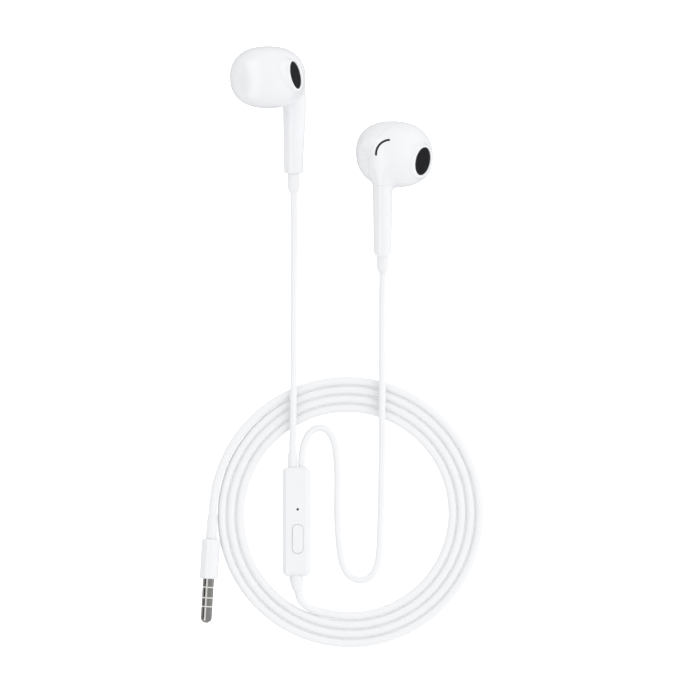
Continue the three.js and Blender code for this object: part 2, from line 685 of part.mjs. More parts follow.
function remoteBlock() {
  const outline = roundedOutline(
    REMOTE_WIDTH - 2 * REMOTE_EDGE,
    REMOTE_LENGTH - 2 * REMOTE_EDGE,
    REMOTE_CORNER - REMOTE_EDGE,
  );
  const geometry = new THREE.ExtrudeGeometry(outline, {
    depth: REMOTE_THICKNESS - 2 * REMOTE_EDGE,
    bevelThickness: REMOTE_EDGE,
    bevelSize: REMOTE_EDGE,
    bevelSegments: 3,
    curveSegments: 4,
  });
  return solidOf(geometry.translate(...REMOTE_CENTRE, REMOTE_EDGE));
}

function remoteCavity() {
  const outline = roundedOutline(
    REMOTE_WIDTH - 2 * REMOTE_WALL,
    REMOTE_LENGTH - 2 * REMOTE_WALL,
    REMOTE_CORNER - REMOTE_EDGE,
  );
  const cavity = plate(outline, REMOTE_THICKNESS - 2 * REMOTE_WALL, REMOTE_WALL);
  return solidOf(cavity.translate(...REMOTE_CENTRE, 0));
}

// A rod along y, for the holes and necks in the remote's ends.
function endRod(radius, x, low, high) {
  return solidOf(rod(radius, low, high, SMALL_ROUND_SIDES).translate(x, 0, remoteAxis));
}

function remoteEndHoles() {
  const left = REMOTE_CENTRE[0] + LEFT_ENTRY_X;
  const right = REMOTE_CENTRE[0] + RIGHT_ENTRY_X;
  const neck = ENTRY_NECK_RADIUS + RUN_GAP;
  const inside = remoteTop - REMOTE_WALL - RUN_GAP;
  return endRod(neck, left, inside, remoteTop + 1)
    .add(endRod(neck, right, inside, remoteTop + 1))
    .add(
      endRod(
        TRUNK_NECK_RADIUS + RUN_GAP,
        REMOTE_CENTRE[0],
        remoteBottom - 1,
        remoteBottom + REMOTE_WALL + RUN_GAP,
      ),
    );
}

function buttonOutline(margin) {
  return roundedOutline(
    BUTTON_WIDTH + 2 * margin,
    BUTTON_LENGTH + 2 * margin,
    BUTTON_CORNER + margin,
  );
}

function remoteShells() {
  const seam = REMOTE_THICKNESS / 2;
  const hollow = remoteCavity().add(remoteEndHoles());
  const half = (low, high) =>
    solidOf(
      box(2 * REMOTE_WIDTH, 2 * REMOTE_LENGTH, high - low, ...REMOTE_CENTRE, (low + high) / 2),
    );
  const micHole = rod(MICROPHONE_HOLE / 2, -REMOTE_THICKNESS, REMOTE_THICKNESS, SMALL_ROUND_SIDES);
  micHole.rotateX(Math.PI / 2).translate(...microphoneAt, REMOTE_THICKNESS);
  const buttonHole = plate(buttonOutline(RUN_GAP), REMOTE_THICKNESS, REMOTE_THICKNESS / 2);
  const front = remoteBlock()
    .intersect(half(seam + REMOTE_SEAM / 2, 2 * REMOTE_THICKNESS))
    .subtract(hollow)
    .subtract(solidOf(micHole))
    .subtract(solidOf(buttonHole.translate(...buttonAt, 0)));
  const ribs = [-1, 1].map((side) =>
    solidOf(
      box(
        BOARD_RIB_WIDTH,
        boardLength,
        BOARD_RIB_HEIGHT + REMOTE_WALL / 2,
        REMOTE_CENTRE[0] + side * (REMOTE_WIDTH / 2 - REMOTE_WALL - BOARD_EDGE_GAP - BOARD_RIB_WIDTH / 2),
        REMOTE_CENTRE[1],
        REMOTE_WALL + BOARD_RIB_HEIGHT / 2 - REMOTE_WALL / 4,
      ),
    ),
  );
  const rear = remoteBlock()
    .intersect(half(-1, seam - REMOTE_SEAM / 2))
    .subtract(hollow)
    .add(ribs[0])
    .add(ribs[1]);
  return [
    named('remote_front_shell', front, gloss),
    named('remote_rear_shell', rear, gloss),
  ];
}

// The button's cap with its flange under the shell, and the switch that it presses.
function remoteButton() {
  const flangeTop = ceiling - FINE_GAP;
  const flangeLow = flangeTop - BUTTON_FLANGE_THICKNESS;
  const cap = plate(buttonOutline(0), REMOTE_THICKNESS + BUTTON_PROUD - flangeLow, flangeLow);
  const flange = plate(
    roundedOutline(
      BUTTON_WIDTH + 2 * BUTTON_FLANGE,
      BUTTON_LENGTH + 2 * BUTTON_FLANGE,
      BUTTON_CORNER,
    ),
    BUTTON_FLANGE_THICKNESS,
    flangeLow,
  );
  const button = solidOf(cap).add(solidOf(flange));
  const switchLow = boardHigh + FINE_GAP;
  const switchHigh = flangeLow - SWITCH_ROOM;
  const plungerLow = switchLow + BUTTON_TRAVEL + 2 * FINE_GAP;
  const plungerHigh = flangeLow - FINE_GAP;
  const wellLow = plungerLow - BUTTON_TRAVEL - FINE_GAP;
  const upright = (radius, low, high) =>
    rod(radius, low, high, SMALL_ROUND_SIDES).rotateX(Math.PI / 2).translate(...buttonAt, 0);
  const well = upright(PLUNGER_DIAMETER / 2 + RUN_GAP, wellLow, switchHigh + 1);
  const body = box(
    SWITCH_SIZE,
    SWITCH_SIZE,
    switchHigh - switchLow,
    ...buttonAt,
    (switchLow + switchHigh) / 2,
  );
  const plunger = upright(PLUNGER_DIAMETER / 2, plungerLow, plungerHigh);
  return [
    named('remote_button', geometryOf(button).translate(...buttonAt, 0), gloss),
    named('remote_switch_body', solidOf(body).subtract(solidOf(well)), darkFrame),
    named('remote_switch_plunger', solidOf(plunger), darkFrame),
  ];
}

function remoteElectronics() {
  const board = box(
    REMOTE_WIDTH - 2 * (REMOTE_WALL + BOARD_EDGE_GAP),
    boardLength,
    BOARD_THICKNESS,
    ...REMOTE_CENTRE,
    (boardLow + boardHigh) / 2 + FINE_GAP / 2,
  );
  const capsuleLow = boardHigh + FINE_GAP;
  const meshHigh = ceiling - FINE_GAP;
  const capsuleHigh = meshHigh - MICROPHONE_MESH_THICKNESS - MICROPHONE_ROOM;
  const upright = (radius, low, high) =>
    rod(radius, low, high, SMALL_ROUND_SIDES).rotateX(Math.PI / 2).translate(...microphoneAt, 0);
  return [
    named('remote_circuit_board', board, boardGreen),
    named('remote_microphone', upright(MICROPHONE_DIAMETER / 2, capsuleLow, capsuleHigh), steel),
    named(
      'remote_microphone_mesh',
      upright(MICROPHONE_DIAMETER / 3, meshHigh - MICROPHONE_MESH_THICKNESS, meshHigh),
      blackMesh,
    ),
  ];
}

// What holds the cords in the remote's ends: a long sleeve, a flush grommet and the trunk's relief.
function remoteEntries() {
  const left = REMOTE_CENTRE[0] + LEFT_ENTRY_X;
  const right = REMOTE_CENTRE[0] + RIGHT_ENTRY_X;
  const flangeHigh = remoteTop - REMOTE_WALL - RUN_GAP;
  const flangeLow = flangeHigh - ENTRY_FLANGE_THICKNESS;
  const sleeve = endRod(ENTRY_FLANGE_RADIUS, left, flangeLow, flangeHigh)
    .add(endRod(ENTRY_NECK_RADIUS, left, flangeLow, remoteTop + 1))
    .add(
      endRod(ENTRY_SLEEVE_RADIUS, left, remoteTop + FINE_GAP, remoteTop + ENTRY_SLEEVE_LENGTH),
    );
  const grommet = endRod(ENTRY_FLANGE_RADIUS, right, flangeLow, flangeHigh).add(
    endRod(ENTRY_NECK_RADIUS, right, flangeLow, remoteTop),
  );
  return [
    named('remote_left_sleeve', sleeve, softPlastic),
    named('remote_right_grommet', grommet, softPlastic),
    named('remote_trunk_relief', trunkRelief(), softPlastic),
  ];
}

// The trunk's relief bends with the cord. Its path runs from inside the remote to the cord's start.
function trunkReliefPath() {
  const bend = radians(REMOTE_RELIEF_BEND);
  const x = REMOTE_CENTRE[0];
  const outside = remoteBottom - RUN_GAP;
  const radius = (TRUNK_RELIEF_LENGTH - TRUNK_RELIEF_STRAIGHT) / bend;
  const path = [new THREE.Vector3(x, outside, remoteAxis)];
  for (let i = 0; i <= TRUNK_RELIEF_STEPS; i += 1) {
    const angle = (bend * i) / TRUNK_RELIEF_STEPS;
    const aside = x + radius * (1 - Math.cos(angle));
    const down = outside - TRUNK_RELIEF_STRAIGHT - radius * Math.sin(angle);
    path.push(new THREE.Vector3(aside, down, remoteAxis));
  }
  return path;
}

function trunkRelief() {
  const x = REMOTE_CENTRE[0];
  const flangeLow = remoteBottom + REMOTE_WALL + RUN_GAP;
  const bent = trunkReliefPath();
  const radii = bent.map((_, i) => {
    const share = (i / (bent.length - 1)) ** TRUNK_RELIEF_CURVE;
    return THREE.MathUtils.lerp(TRUNK_RELIEF_RADIUS, TRUNK_RELIEF_TIP_RADIUS, share);
  });
  return solidOf(ringTube(bent, radii, SMALL_ROUND_SIDES))
    .add(endRod(TRUNK_NECK_RADIUS, x, bent[1].y, flangeLow + ENTRY_FLANGE_THICKNESS))
    .add(endRod(remoteAxis - REMOTE_WALL - RUN_GAP, x, flangeLow, flangeLow + ENTRY_FLANGE_THICKNESS));
}

// ---------------------------------------------------------------------------------------------
// Plug
// ---------------------------------------------------------------------------------------------

const poleHole = JACK_RADIUS - JACK_POLE_WALL;
const insulationRadius = poleHole - FINE_GAP;
const jackLength = JACK_SLEEVE + JACK_LOWER_RING + JACK_UPPER_RING + JACK_TIP + 3 * JACK_BAND;

// Heights of the three insulating bands, from the barrel outwards.
function bandTops() {
  const first = -JACK_SLEEVE;
  const second = first - JACK_BAND - JACK_LOWER_RING;
  const third = second - JACK_BAND - JACK_UPPER_RING;
  return [first, second, third];
}

// The four poles of the jack, each a tube on the insulation, and the tip with its rod through it all.
function jackPoles() {
  const [first, second, third] = bandTops();
  const pole = (high, low) =>
    ring(poleHole, JACK_RADIUS, low + FINE_GAP / 2, high - FINE_GAP / 2);
  const sleeveLow = first + FINE_GAP / 2;
  const collarLow = BARREL_FACE_WALL + RUN_GAP;
  const sleeve = turned([
    [poleHole, sleeveLow],
    [JACK_RADIUS, sleeveLow],
    [JACK_RADIUS, collarLow],
    [JACK_COLLAR_RADIUS, collarLow],
    [JACK_COLLAR_RADIUS, collarLow + JACK_COLLAR_LENGTH],
    [JACK_RADIUS, collarLow + JACK_COLLAR_LENGTH],
    [JACK_RADIUS, JACK_SLEEVE_INSIDE],
    [poleHole, JACK_SLEEVE_INSIDE],
    [poleHole, sleeveLow],
  ]);
  const tipTop = third - JACK_BAND - FINE_GAP / 2;
  const tip = turned([
    [0, -jackLength],
    [JACK_TIP_FLAT_RADIUS, -jackLength],
    [JACK_TIP_SHOULDER_RADIUS, -jackLength + JACK_TIP_SHOULDER],
    [JACK_RADIUS, -jackLength + JACK_TIP_CONE],
    [JACK_RADIUS, tipTop],
    [JACK_ROD_RADIUS, tipTop],
    [JACK_ROD_RADIUS, JACK_ROD_INSIDE],
    [0, JACK_ROD_INSIDE],
  ]);
  return [
    named('jack_sleeve', sleeve, nickel),
    named('jack_lower_ring', pole(first - JACK_BAND, second), nickel),
    named('jack_upper_ring', pole(second - JACK_BAND, third), nickel),
    named('jack_tip', tip, nickel),
  ];
}

// One moulding: a tube under the poles with a band between each two of them.
function jackInsulation() {
  const inner = JACK_ROD_RADIUS + FINE_GAP;
  const corners = [[inner, JACK_INSULATION_INSIDE], [inner, bandTops()[2] - JACK_BAND]];
  for (const top of bandTops().reverse()) {
    const bottom = top - JACK_BAND;
    corners.push([insulationRadius, bottom], [JACK_RADIUS, bottom]);
    corners.push([JACK_RADIUS, top], [insulationRadius, top]);
  }
  corners.push([insulationRadius, JACK_INSULATION_INSIDE], [inner, JACK_INSULATION_INSIDE]);
  return named('jack_insulation', turned(corners, ROUND_SIDES), bandPlastic);
}

function plugHousing() {
  const hole = JACK_RADIUS + RUN_GAP;
  const cavityHigh = BARREL_LENGTH - BARREL_BACK_WALL;
  const neckHole = PLUG_NECK_RADIUS + RUN_GAP;
  const rounding = BARREL_SHOULDER * (1 - Math.SQRT1_2); // of the shoulder's arc at its middle
  const barrel = turned([
    [hole, 0],
    [BARREL_RADIUS - BARREL_EDGE, 0],
    [BARREL_RADIUS, BARREL_EDGE],
    [BARREL_RADIUS, BARREL_LENGTH - BARREL_SHOULDER],
    [BARREL_RADIUS - rounding, BARREL_LENGTH - rounding],
    [BARREL_RADIUS - BARREL_SHOULDER, BARREL_LENGTH],
    [neckHole, BARREL_LENGTH],
    [neckHole, cavityHigh],
    [BARREL_CAVITY_RADIUS, cavityHigh],
    [BARREL_CAVITY_RADIUS, BARREL_FACE_WALL],
    [hole, BARREL_FACE_WALL],
    [hole, 0],
  ]);
  const flangeHigh = cavityHigh - RUN_GAP;
  const sleeveEnd = BARREL_LENGTH + PLUG_SLEEVE_LENGTH;
  const sleeve = turned([
    [0, flangeHigh - PLUG_FLANGE_THICKNESS],
    [PLUG_FLANGE_RADIUS, flangeHigh - PLUG_FLANGE_THICKNESS],
    [PLUG_FLANGE_RADIUS, flangeHigh],
    [PLUG_NECK_RADIUS, flangeHigh],
    [PLUG_NECK_RADIUS, BARREL_LENGTH + FINE_GAP],
    [PLUG_SLEEVE_RADIUS, BARREL_LENGTH + FINE_GAP],
    [PLUG_SLEEVE_TIP_RADIUS, sleeveEnd],
    [0, sleeveEnd],
  ]);
  const blockLow = JACK_ROD_INSIDE + RUN_GAP;
  const block = rod(PLUG_FLANGE_RADIUS, blockLow, blockLow + SOLDER_BLOCK_LENGTH, SMALL_ROUND_SIDES);
  return [
    named('plug_barrel', barrel, gloss),
    named('plug_sleeve', sleeve, softPlastic),
    named('plug_solder_block', block, bandPlastic),
  ];
}

function makePlug() {
  const plug = new THREE.Group();
  plug.add(...jackPoles(), jackInsulation(), ...plugHousing());
  return plug;
}

// ---------------------------------------------------------------------------------------------
// Cords
// ---------------------------------------------------------------------------------------------

const earCordRadius = EAR_CORD_DIAMETER / 2;
const trunkRadius = TRUNK_DIAMETER / 2;

// Heights of an ear cord's middle: lying on the surface, and rising from there over the coil by a
// share, where 1 is over it, or up to the remote's entries by a share.
const onSurface = earCordRadius + CORD_ROOM;
const overCoil = TRUNK_DIAMETER + earCordRadius + CROSSING_ROOM;
const rising = (share) => THREE.MathUtils.lerp(onSurface, overCoil, share);
const entering = (share) => THREE.MathUtils.lerp(onSurface, remoteAxis, share);

// The two earbuds' cords, each from its strain relief to the remote: [x, y, z] of the cord's middle.
const settling = (share) => onSurface + share * LEFT_TIP_RISE;
const LEFT_CORD_ROUTE = [
  [-11.8, -18.0, settling(0.58)],
  [-11.75, -23.0, settling(0.23)],
  [-11.75, -28.0, settling(0.04)],
  [-11.8, -34.0, onSurface],
  [-11.85, -45.0, onSurface],
  [-11.85, -54.0, rising(0.02)],
  [-11.85, -60.0, rising(0.23)],
  [-11.85, -65.5, rising(0.69)],
  [-11.9, -71.0, rising(0.98)],
  [-12.0, -78.0, rising(1)],
  [-12.1, -84.5, rising(0.96)],
  [-12.2, -88.0, rising(0.74)],
];
const RIGHT_CORD_ROUTE = [
  [16.3, -43.0, rising(0.02)],
  [16.25, -48.0, onSurface],
  [16.2, -53.0, rising(0.02)],
  [16.2, -58.5, rising(0.23)],
  [16.2, -64.0, rising(0.69)],
  [16.2, -69.5, rising(0.98)],
  [16.2, -76.0, rising(1)],
  [16.2, -82.5, rising(0.96)],
  [16.15, -88.5, rising(0.53)],
  [16.1, -94.5, rising(0.1)],
  [16.0, -102.0, onSurface],
  [15.85, -110.0, onSurface],
  [15.6, -118.0, onSurface],
  [15.3, -124.8, onSurface],
  [14.5, -129.2, onSurface],
  [12.7, -132.4, onSurface],
  [9.8, -133.7, onSurface],
  [6.5, -132.8, onSurface],
  [4.2, -130.0, onSurface],
  [3.1, -126.3, onSurface],
  [2.5, -121.5, onSurface],
  [2.05, -115.0, onSurface],
  [2.0, -108.0, onSurface],
  [2.05, -101.0, onSurface],
  [1.7, -94.5, onSurface],
  [0.7, -89.2, onSurface],
  [-1.1, -86.3, onSurface],
  [-3.6, -85.3, onSurface],
  [-6.2, -86.4, entering(0.03)],
  [-8.0, -88.9, entering(0.26)],
  [-8.9, -91.8, entering(0.71)],
];
// The trunk's lead from its relief into the coil, between the straight end and the spiral. Its
// heights fall from the remote's entry to the surface.
const falling = (share) => THREE.MathUtils.lerp(remoteAxis, trunkRadius, share);
const TRUNK_LEAD_ROUTE = [
  [-8.1, -141.5, falling(0.32)],
  [-5.9, -142.9, falling(0.71)],
];

// A cord's start at an earbud's relief: a point clear of it, and one on its axis a little further.
function cordStart(earbud) {
  const end = -STEM_LENGTH - 2 * SEAT_GAP - RELIEF_SLEEVE - RELIEF_CONE;
  const points = [end, end - EAR_CORD_DIAMETER].map((y) => new THREE.Vector3(0, y, 0));
  return points.map((point) => point.applyMatrix4(earbud.matrixWorld));
}

// A cord's end at the remote: a point on the entry's axis, and the last one clear of the entry.
function cordEnd(entryX, entryY) {
  const x = REMOTE_CENTRE[0] + entryX;
  const low = entryY + SEAT_GAP;
  return [
    new THREE.Vector3(x, low + EAR_CORD_DIAMETER, remoteAxis),
    new THREE.Vector3(x, low, remoteAxis),
  ];
}

function earCord(name, earbud, route, end) {
  const points = [...cordStart(earbud), ...route.map(vector), ...end];
  const path = new THREE.CatmullRomCurve3(points, false, 'centripetal');
  const length = path.getLength();
  console.log(`${name} is ${length.toFixed(1)} mm long`);
  const tube = tubeAlong(path, earCordRadius, EAR_CORD_SIDES, Math.round(length / EAR_CORD_STEP));
  return named(name, tube, cordPlastic);
}

// A point of the flat spiral: one step on is a twenty-fourth of a loop, counted from the bottom.
function spiralPoint(step) {
  const turns = step / COIL_LOOP_STEPS;
  const angle = 2 * Math.PI * (turns - 0.25);
  const radius = COIL_START_RADIUS + (TRUNK_DIAMETER + COIL_GAP) * turns;
  const rise = BARREL_RADIUS - trunkRadius;
  const climb = (step - COIL_LAST_STEP) / COIL_CLIMB_STEPS + 1;
  const lift = rise * THREE.MathUtils.smoothstep(climb, 0, 1);
  return new THREE.Vector3(
    COIL_CENTRE[0] + radius * Math.cos(angle),
    COIL_CENTRE[1] + radius * Math.sin(angle),
    trunkRadius + lift,
  );
}

// The trunk's middle from its relief to the plug: a straight end, the lead, the loops and a
// straight end.
function trunkPath() {
  const relief = trunkReliefPath();
  const bend = radians(REMOTE_RELIEF_BEND);
  const out = new THREE.Vector3(Math.sin(bend), -Math.cos(bend), 0);
  const start = relief[relief.length - 1].clone().addScaledVector(out, SEAT_GAP);
  const points = [start, start.clone().addScaledVector(out, TRUNK_DIAMETER)];
  points.push(...TRUNK_LEAD_ROUTE.map(vector));
  for (let step = COIL_FIRST_STEP; step < COIL_LAST_STEP; step += 1) {
    points.push(spiralPoint(step));
  }
  const last = spiralPoint(COIL_LAST_STEP);
  points.push(last);
  points.push(last.clone().addScaledVector(plugAxis(), -TRUNK_DIAMETER));
  return points;
}

// The way from the jack's tip to the cord.
function plugAxis() {
  const lean = radians(PLUG_LEAN);
  return new THREE.Vector3(Math.sin(lean), Math.cos(lean), 0);
}

// The least gap of the trunk to itself, between corners half a loop or more apart.
function leastCoilGap(geometry) {
  const corners = geometry.attributes.position;
  const apart = (COIL_LOOP_STEPS / 2) * TRUNK_SIDES;
  const [one, other] = [new THREE.Vector3(), new THREE.Vector3()];
  let least = Infinity;
  for (let i = 0; i < corners.count; i += 1) {
    one.fromBufferAttribute(corners, i);
    for (let k = i + apart; k < corners.count; k += 1) {
      other.fromBufferAttribute(corners, k);
      least = Math.min(least, one.distanceTo(other));
    }
  }
  return least;
}

function trunkCoil(path) {
  const geometry = ringTube(path, path.map(() => trunkRadius), TRUNK_SIDES);
  const gap = leastCoilGap(geometry);
  console.log(`trunk_coil is ${new THREE.CatmullRomCurve3(path).getLength().toFixed(0)} mm long`);
  console.log(`trunk_coil's least gap to itself is ${gap.toFixed(2)} mm`);
  if (gap < LEAST_COIL_GAP) throw new Error('the loops of the trunk lie too close together');
  return named('trunk_coil', geometry, cordPlastic);
}

// ---------------------------------------------------------------------------------------------
// The whole set
// ---------------------------------------------------------------------------------------------

const leftEarbud = makeEarbud('left');
const rightEarbud = makeEarbud('right');
layEarbuds(leftEarbud, rightEarbud);

const path = trunkPath();
const plug = makePlug();
plug.rotation.z = -radians(PLUG_LEAN);
plug.position.copy(path[path.length - 1]);
plug.position.addScaledVector(plugAxis(), -(SEAT_GAP + PLUG_SLEEVE_LENGTH + BARREL_LENGTH));

const earphones = new THREE.Group();
earphones.add(leftEarbud, rightEarbud, plug);
earphones.add(...remoteShells(), ...remoteButton(), ...remoteElectronics(), ...remoteEntries());
earphones.add(trunkCoil(path));
earphones.add(
  earCord(
    'left_cord',
    leftEarbud,
    LEFT_CORD_ROUTE,
    cordEnd(LEFT_ENTRY_X, remoteTop + ENTRY_SLEEVE_LENGTH),
  ),
  earCord('right_cord', rightEarbud, RIGHT_CORD_ROUTE, cordEnd(RIGHT_ENTRY_X, remoteTop)),
);

export default earphones;
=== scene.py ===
"""Wired earphones: two stemmed earbuds, their cords, an in-line remote, a coiled trunk and a plug.

The scene is in metres. Each earbud, the remote and the plug are shaped in millimetres in a frame of
their own, and are then laid in their places: MM turns a size in millimetres into metres.
"""
import json
import math

import bmesh
import bpy
import numpy as np
from mathutils import Matrix, Vector
from mathutils.geometry import interpolate_bezier


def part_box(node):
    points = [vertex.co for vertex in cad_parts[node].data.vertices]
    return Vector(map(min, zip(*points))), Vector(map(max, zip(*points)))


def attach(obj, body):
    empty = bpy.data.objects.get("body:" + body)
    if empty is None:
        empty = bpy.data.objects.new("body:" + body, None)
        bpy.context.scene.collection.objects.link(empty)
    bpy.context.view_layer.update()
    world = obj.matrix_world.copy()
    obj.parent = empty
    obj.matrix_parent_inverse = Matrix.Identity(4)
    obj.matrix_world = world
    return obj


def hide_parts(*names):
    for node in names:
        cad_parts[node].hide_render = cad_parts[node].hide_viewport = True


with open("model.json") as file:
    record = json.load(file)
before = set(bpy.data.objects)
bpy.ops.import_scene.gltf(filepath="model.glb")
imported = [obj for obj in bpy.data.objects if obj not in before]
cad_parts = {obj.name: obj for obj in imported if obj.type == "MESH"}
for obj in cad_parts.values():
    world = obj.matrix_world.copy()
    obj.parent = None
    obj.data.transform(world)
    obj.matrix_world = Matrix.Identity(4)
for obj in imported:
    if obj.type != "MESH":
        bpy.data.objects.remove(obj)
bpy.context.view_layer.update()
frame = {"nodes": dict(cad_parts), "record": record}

MM = 0.001
BODY = "set"  # the one body that rests, and BUTTON_BODY the one that moves
BUTTON_BODY = "button"
SEAT_GAP = 0.3 * MM  # between a cord's end and what it meets, in the frame


# ---- Camera ----

PHOTO_PIXELS = 684
PIXEL = 0.3175 * MM  # what one pixel of the photograph covers on the floor
PHOTO_MIDDLE = (3.46 * MM, -58.1 * MM)
CAMERA_HEIGHT = 8.0  # far off, so that heights on the floor hardly shift
SENSOR_WIDTH = 36.0


def place_camera():
    lens = bpy.data.cameras.new("camera")
    lens.sensor_width = SENSOR_WIDTH
    lens.lens = SENSOR_WIDTH * CAMERA_HEIGHT / (PHOTO_PIXELS * PIXEL)
    camera = bpy.data.objects.new("camera", lens)
    camera.location = (*PHOTO_MIDDLE, CAMERA_HEIGHT)
    bpy.context.scene.collection.objects.link(camera)
    bpy.context.scene.camera = camera


place_camera()


# ---- Places, taken from the frame ----


def middle(node):
    low, high = (Vector(corner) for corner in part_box(node))
    return (low + high) / 2


remote_low = Vector(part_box("remote_rear_shell")[0])
remote_high = Vector(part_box("remote_front_shell")[1])
remote_middle = (remote_low + remote_high) / 2
remote_axis = middle("remote_trunk_relief").z

# Each earbud's own frame: x to the wearer's front, y up the stem, z towards the ear. The stem's
# axis is x = 0, z = 0.
NOZZLE_CENTRE = Vector((0.78, 1.35, 12.85))  # middle of the speaker opening
NOZZLE_NORMAL = Vector((0.83, 0.14, 0.54)).normalized()
NOZZLE_TURN = math.radians(15)
GRILLE_RECESS = 0.2
GRILLE_THICKNESS = 0.6
LEFT_TURN = Matrix.Rotation(math.radians(7), 4, "X")
RIGHT_TURN = (
    Matrix.Rotation(math.radians(25), 4, "X")
    @ Matrix.Rotation(math.radians(88), 4, "Y")
    @ Matrix.Diagonal((-1, 1, 1, 1))
)

# The plug's own frame: +y towards the cord, y = 0 at the barrel's face on the jack's side.
PLUG_LEAN = math.radians(3.5)
SOLDER_BLOCK_MIDDLE = 6.15


def placed(turn, point, place):
    """A part's own frame in the scene, turned and with its point, in millimetres, at a place."""
    scaled = turn @ Matrix.Scale(MM, 4)
    return Matrix.Translation(place - scaled @ point) @ scaled


grille_middle = NOZZLE_CENTRE - NOZZLE_NORMAL * (GRILLE_RECESS + GRILLE_THICKNESS / 2)
EARBUDS = {
    "left": placed(LEFT_TURN, grille_middle, middle("left_speaker_grille")),
    "right": placed(RIGHT_TURN, grille_middle, middle("right_speaker_grille")),
}
PLUG = placed(
    Matrix.Rotation(-PLUG_LEAN, 4, "Z"),
    Vector((0, SOLDER_BLOCK_MIDDLE, 0)),
    middle("plug_solder_block"),
)
REMOTE = Matrix.Translation((remote_middle.x, remote_middle.y, remote_low.z)) @ Matrix.Scale(MM, 4)


# ---- Making meshes ----

ROUND = 64  # sides of a turned piece
CORNER_STEPS = 6  # steps of a rounded corner
SMOOTH_ANGLE = math.radians(32)
MERGE = 1e-6  # points nearer than this are one


def linked(name, data):
    piece = bpy.data.objects.new(name, data)
    bpy.context.scene.collection.objects.link(piece)
    return piece


def mesh_object(name, points, faces):
    mesh = bpy.data.meshes.new(name)
    mesh.from_pydata([tuple(point) for point in points], [], [tuple(face) for face in faces])
    return linked(name, mesh)


def settle(piece):
    """Puts what the piece's modifiers make into its own mesh."""
    depsgraph = bpy.context.evaluated_depsgraph_get()
    made = bpy.data.meshes.new_from_object(piece.evaluated_get(depsgraph))
    piece.modifiers.clear()
    piece.data = made


def combine(piece, other, operation):
    """Joins, cuts or crosses a closed solid with another one, which is used up."""
    modifier = piece.modifiers.new("combine", "BOOLEAN")
    modifier.operation = operation
    modifier.solver = "MANIFOLD"
    modifier.object = other
    settle(piece)
    bpy.data.objects.remove(other)


def cut(piece, other):
    combine(piece, other, "DIFFERENCE")


def join(piece, other):
    combine(piece, other, "UNION")


def cross(piece, other):
    combine(piece, other, "INTERSECT")


def copied(piece, name):
    return linked(name, piece.data.copy())


def lay(piece, place):
    """Moves a piece's mesh from its own frame to its place, and makes its round parts smooth."""
    piece.data.transform(place)
    if place.is_negative:
        piece.data.flip_normals()
    piece.data.shade_smooth()
    piece.data.set_sharp_from_angle(angle=SMOOTH_ANGLE)
    return piece


def hand_over(piece, material, slot, *nodes, body=BODY):
    """Gives a finished piece its material and its body, and hides the CAD nodes that it replaces.
    """
    piece.data.materials.clear()
    piece.data.materials.append(material)
    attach(piece, body)
    if nodes:
        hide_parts(*nodes)
    return piece


def rounded(corners):
    """An outline through [x, y, rounding] corners, with an arc at each corner that is rounded."""
    outline = []
    for i, (x, y, rounding) in enumerate(corners):
        corner = Vector((x, y))
        if not rounding:
            outline.append(corner)
            continue
        before = (Vector(corners[i - 1][:2]) - corner).normalized()
        after = (Vector(corners[(i + 1) % len(corners)][:2]) - corner).normalized()
        half = before.angle(after) / 2
        centre = corner + (before + after).normalized() * (rounding / math.sin(half))
        reach = rounding / math.tan(half)
        start, end = corner + before * reach - centre, corner + after * reach - centre
        for step in range(CORNER_STEPS + 1):
            outline.append(centre + start.slerp(end, step / CORNER_STEPS).normalized() * rounding)
    return outline


def loft(name, rings, closed=False):
    """A skin through rings of equally many points. Its ends are flat, or it closes on itself."""
    count = len(rings[0])
    points = [point for ring in rings for point in ring]
    faces = []
    for i in range(len(rings) if closed else len(rings) - 1):
        here, there = i * count, (i + 1) % len(rings) * count
        for k in range(count):
            after = (k + 1) % count
            faces.append((here + k, here + after, there + after, there + k))
    if not closed:
        faces.append(range(count - 1, -1, -1))
        faces.append(range(len(points) - count, len(points)))
    return mesh_object(name, points, faces)


def moved(piece, place):
    piece.data.transform(place)
    return piece


def face_out(piece):
    """Merges a piece's doubled points and turns its faces outward."""
    mesh = bmesh.new()
    mesh.from_mesh(piece.data)
    bmesh.ops.remove_doubles(mesh, verts=mesh.verts, dist=MERGE)
    bmesh.ops.recalc_face_normals(mesh, faces=mesh.faces)
    mesh.to_mesh(piece.data)
    mesh.free()
    return piece


def turned(name, corners):
    """A body turned round the y axis from [radius, y, rounding] corners. An outline that starts and
    ends on the axis has a pole there, and any other one closes on itself."""
    outline = rounded(corners)
    ring_points = [point for point in outline if point.x > 0]
    rings = [[(x, point.y, z) for z, x in oval(point.x, point.x)] for point in ring_points]
    return face_out(loft(name, rings, closed=len(ring_points) == len(outline)))


def slab(name, low, high):
    """A block between two corners."""
    (x0, y0, z0), (x1, y1, z1) = low, high
    ring = [(x0, y0), (x1, y0), (x1, y1), (x0, y1)]
    return loft(name, [[(x, y, z) for x, y in ring] for z in (z0, z1)])


def rounded_rectangle(width, length, corner):
    x, y = width / 2, length / 2
    return rounded([(x, -y, corner), (x, y, corner), (-x, y, corner), (-x, -y, corner)])


def at_height(outline, z, offset=(0, 0)):
    return [(point[0] + offset[0], point[1] + offset[1], z) for point in outline]


def oval(half_width, half_length, sides=ROUND):
    angles = [2 * math.pi * k / sides for k in range(sides)]
    return [(half_width * math.cos(a), half_length * math.sin(a)) for a in angles]


# A smooth skin from a rule: the rule gives each point's distance outside the body, below zero
# inside it.
FIRST_ROUNDS = 2  # bring the first points onto the skin
RELAX_ROUNDS = 6
SLOPE_STEP = 0.01


def slope(distance, points):
    """The direction in which the distance grows, and how fast, at each point."""
    steps = np.eye(3) * SLOPE_STEP
    ahead = [distance(points + step) for step in steps]
    behind = [distance(points - step) for step in steps]
    return (np.stack(ahead, -1) - np.stack(behind, -1)) / (2 * SLOPE_STEP)


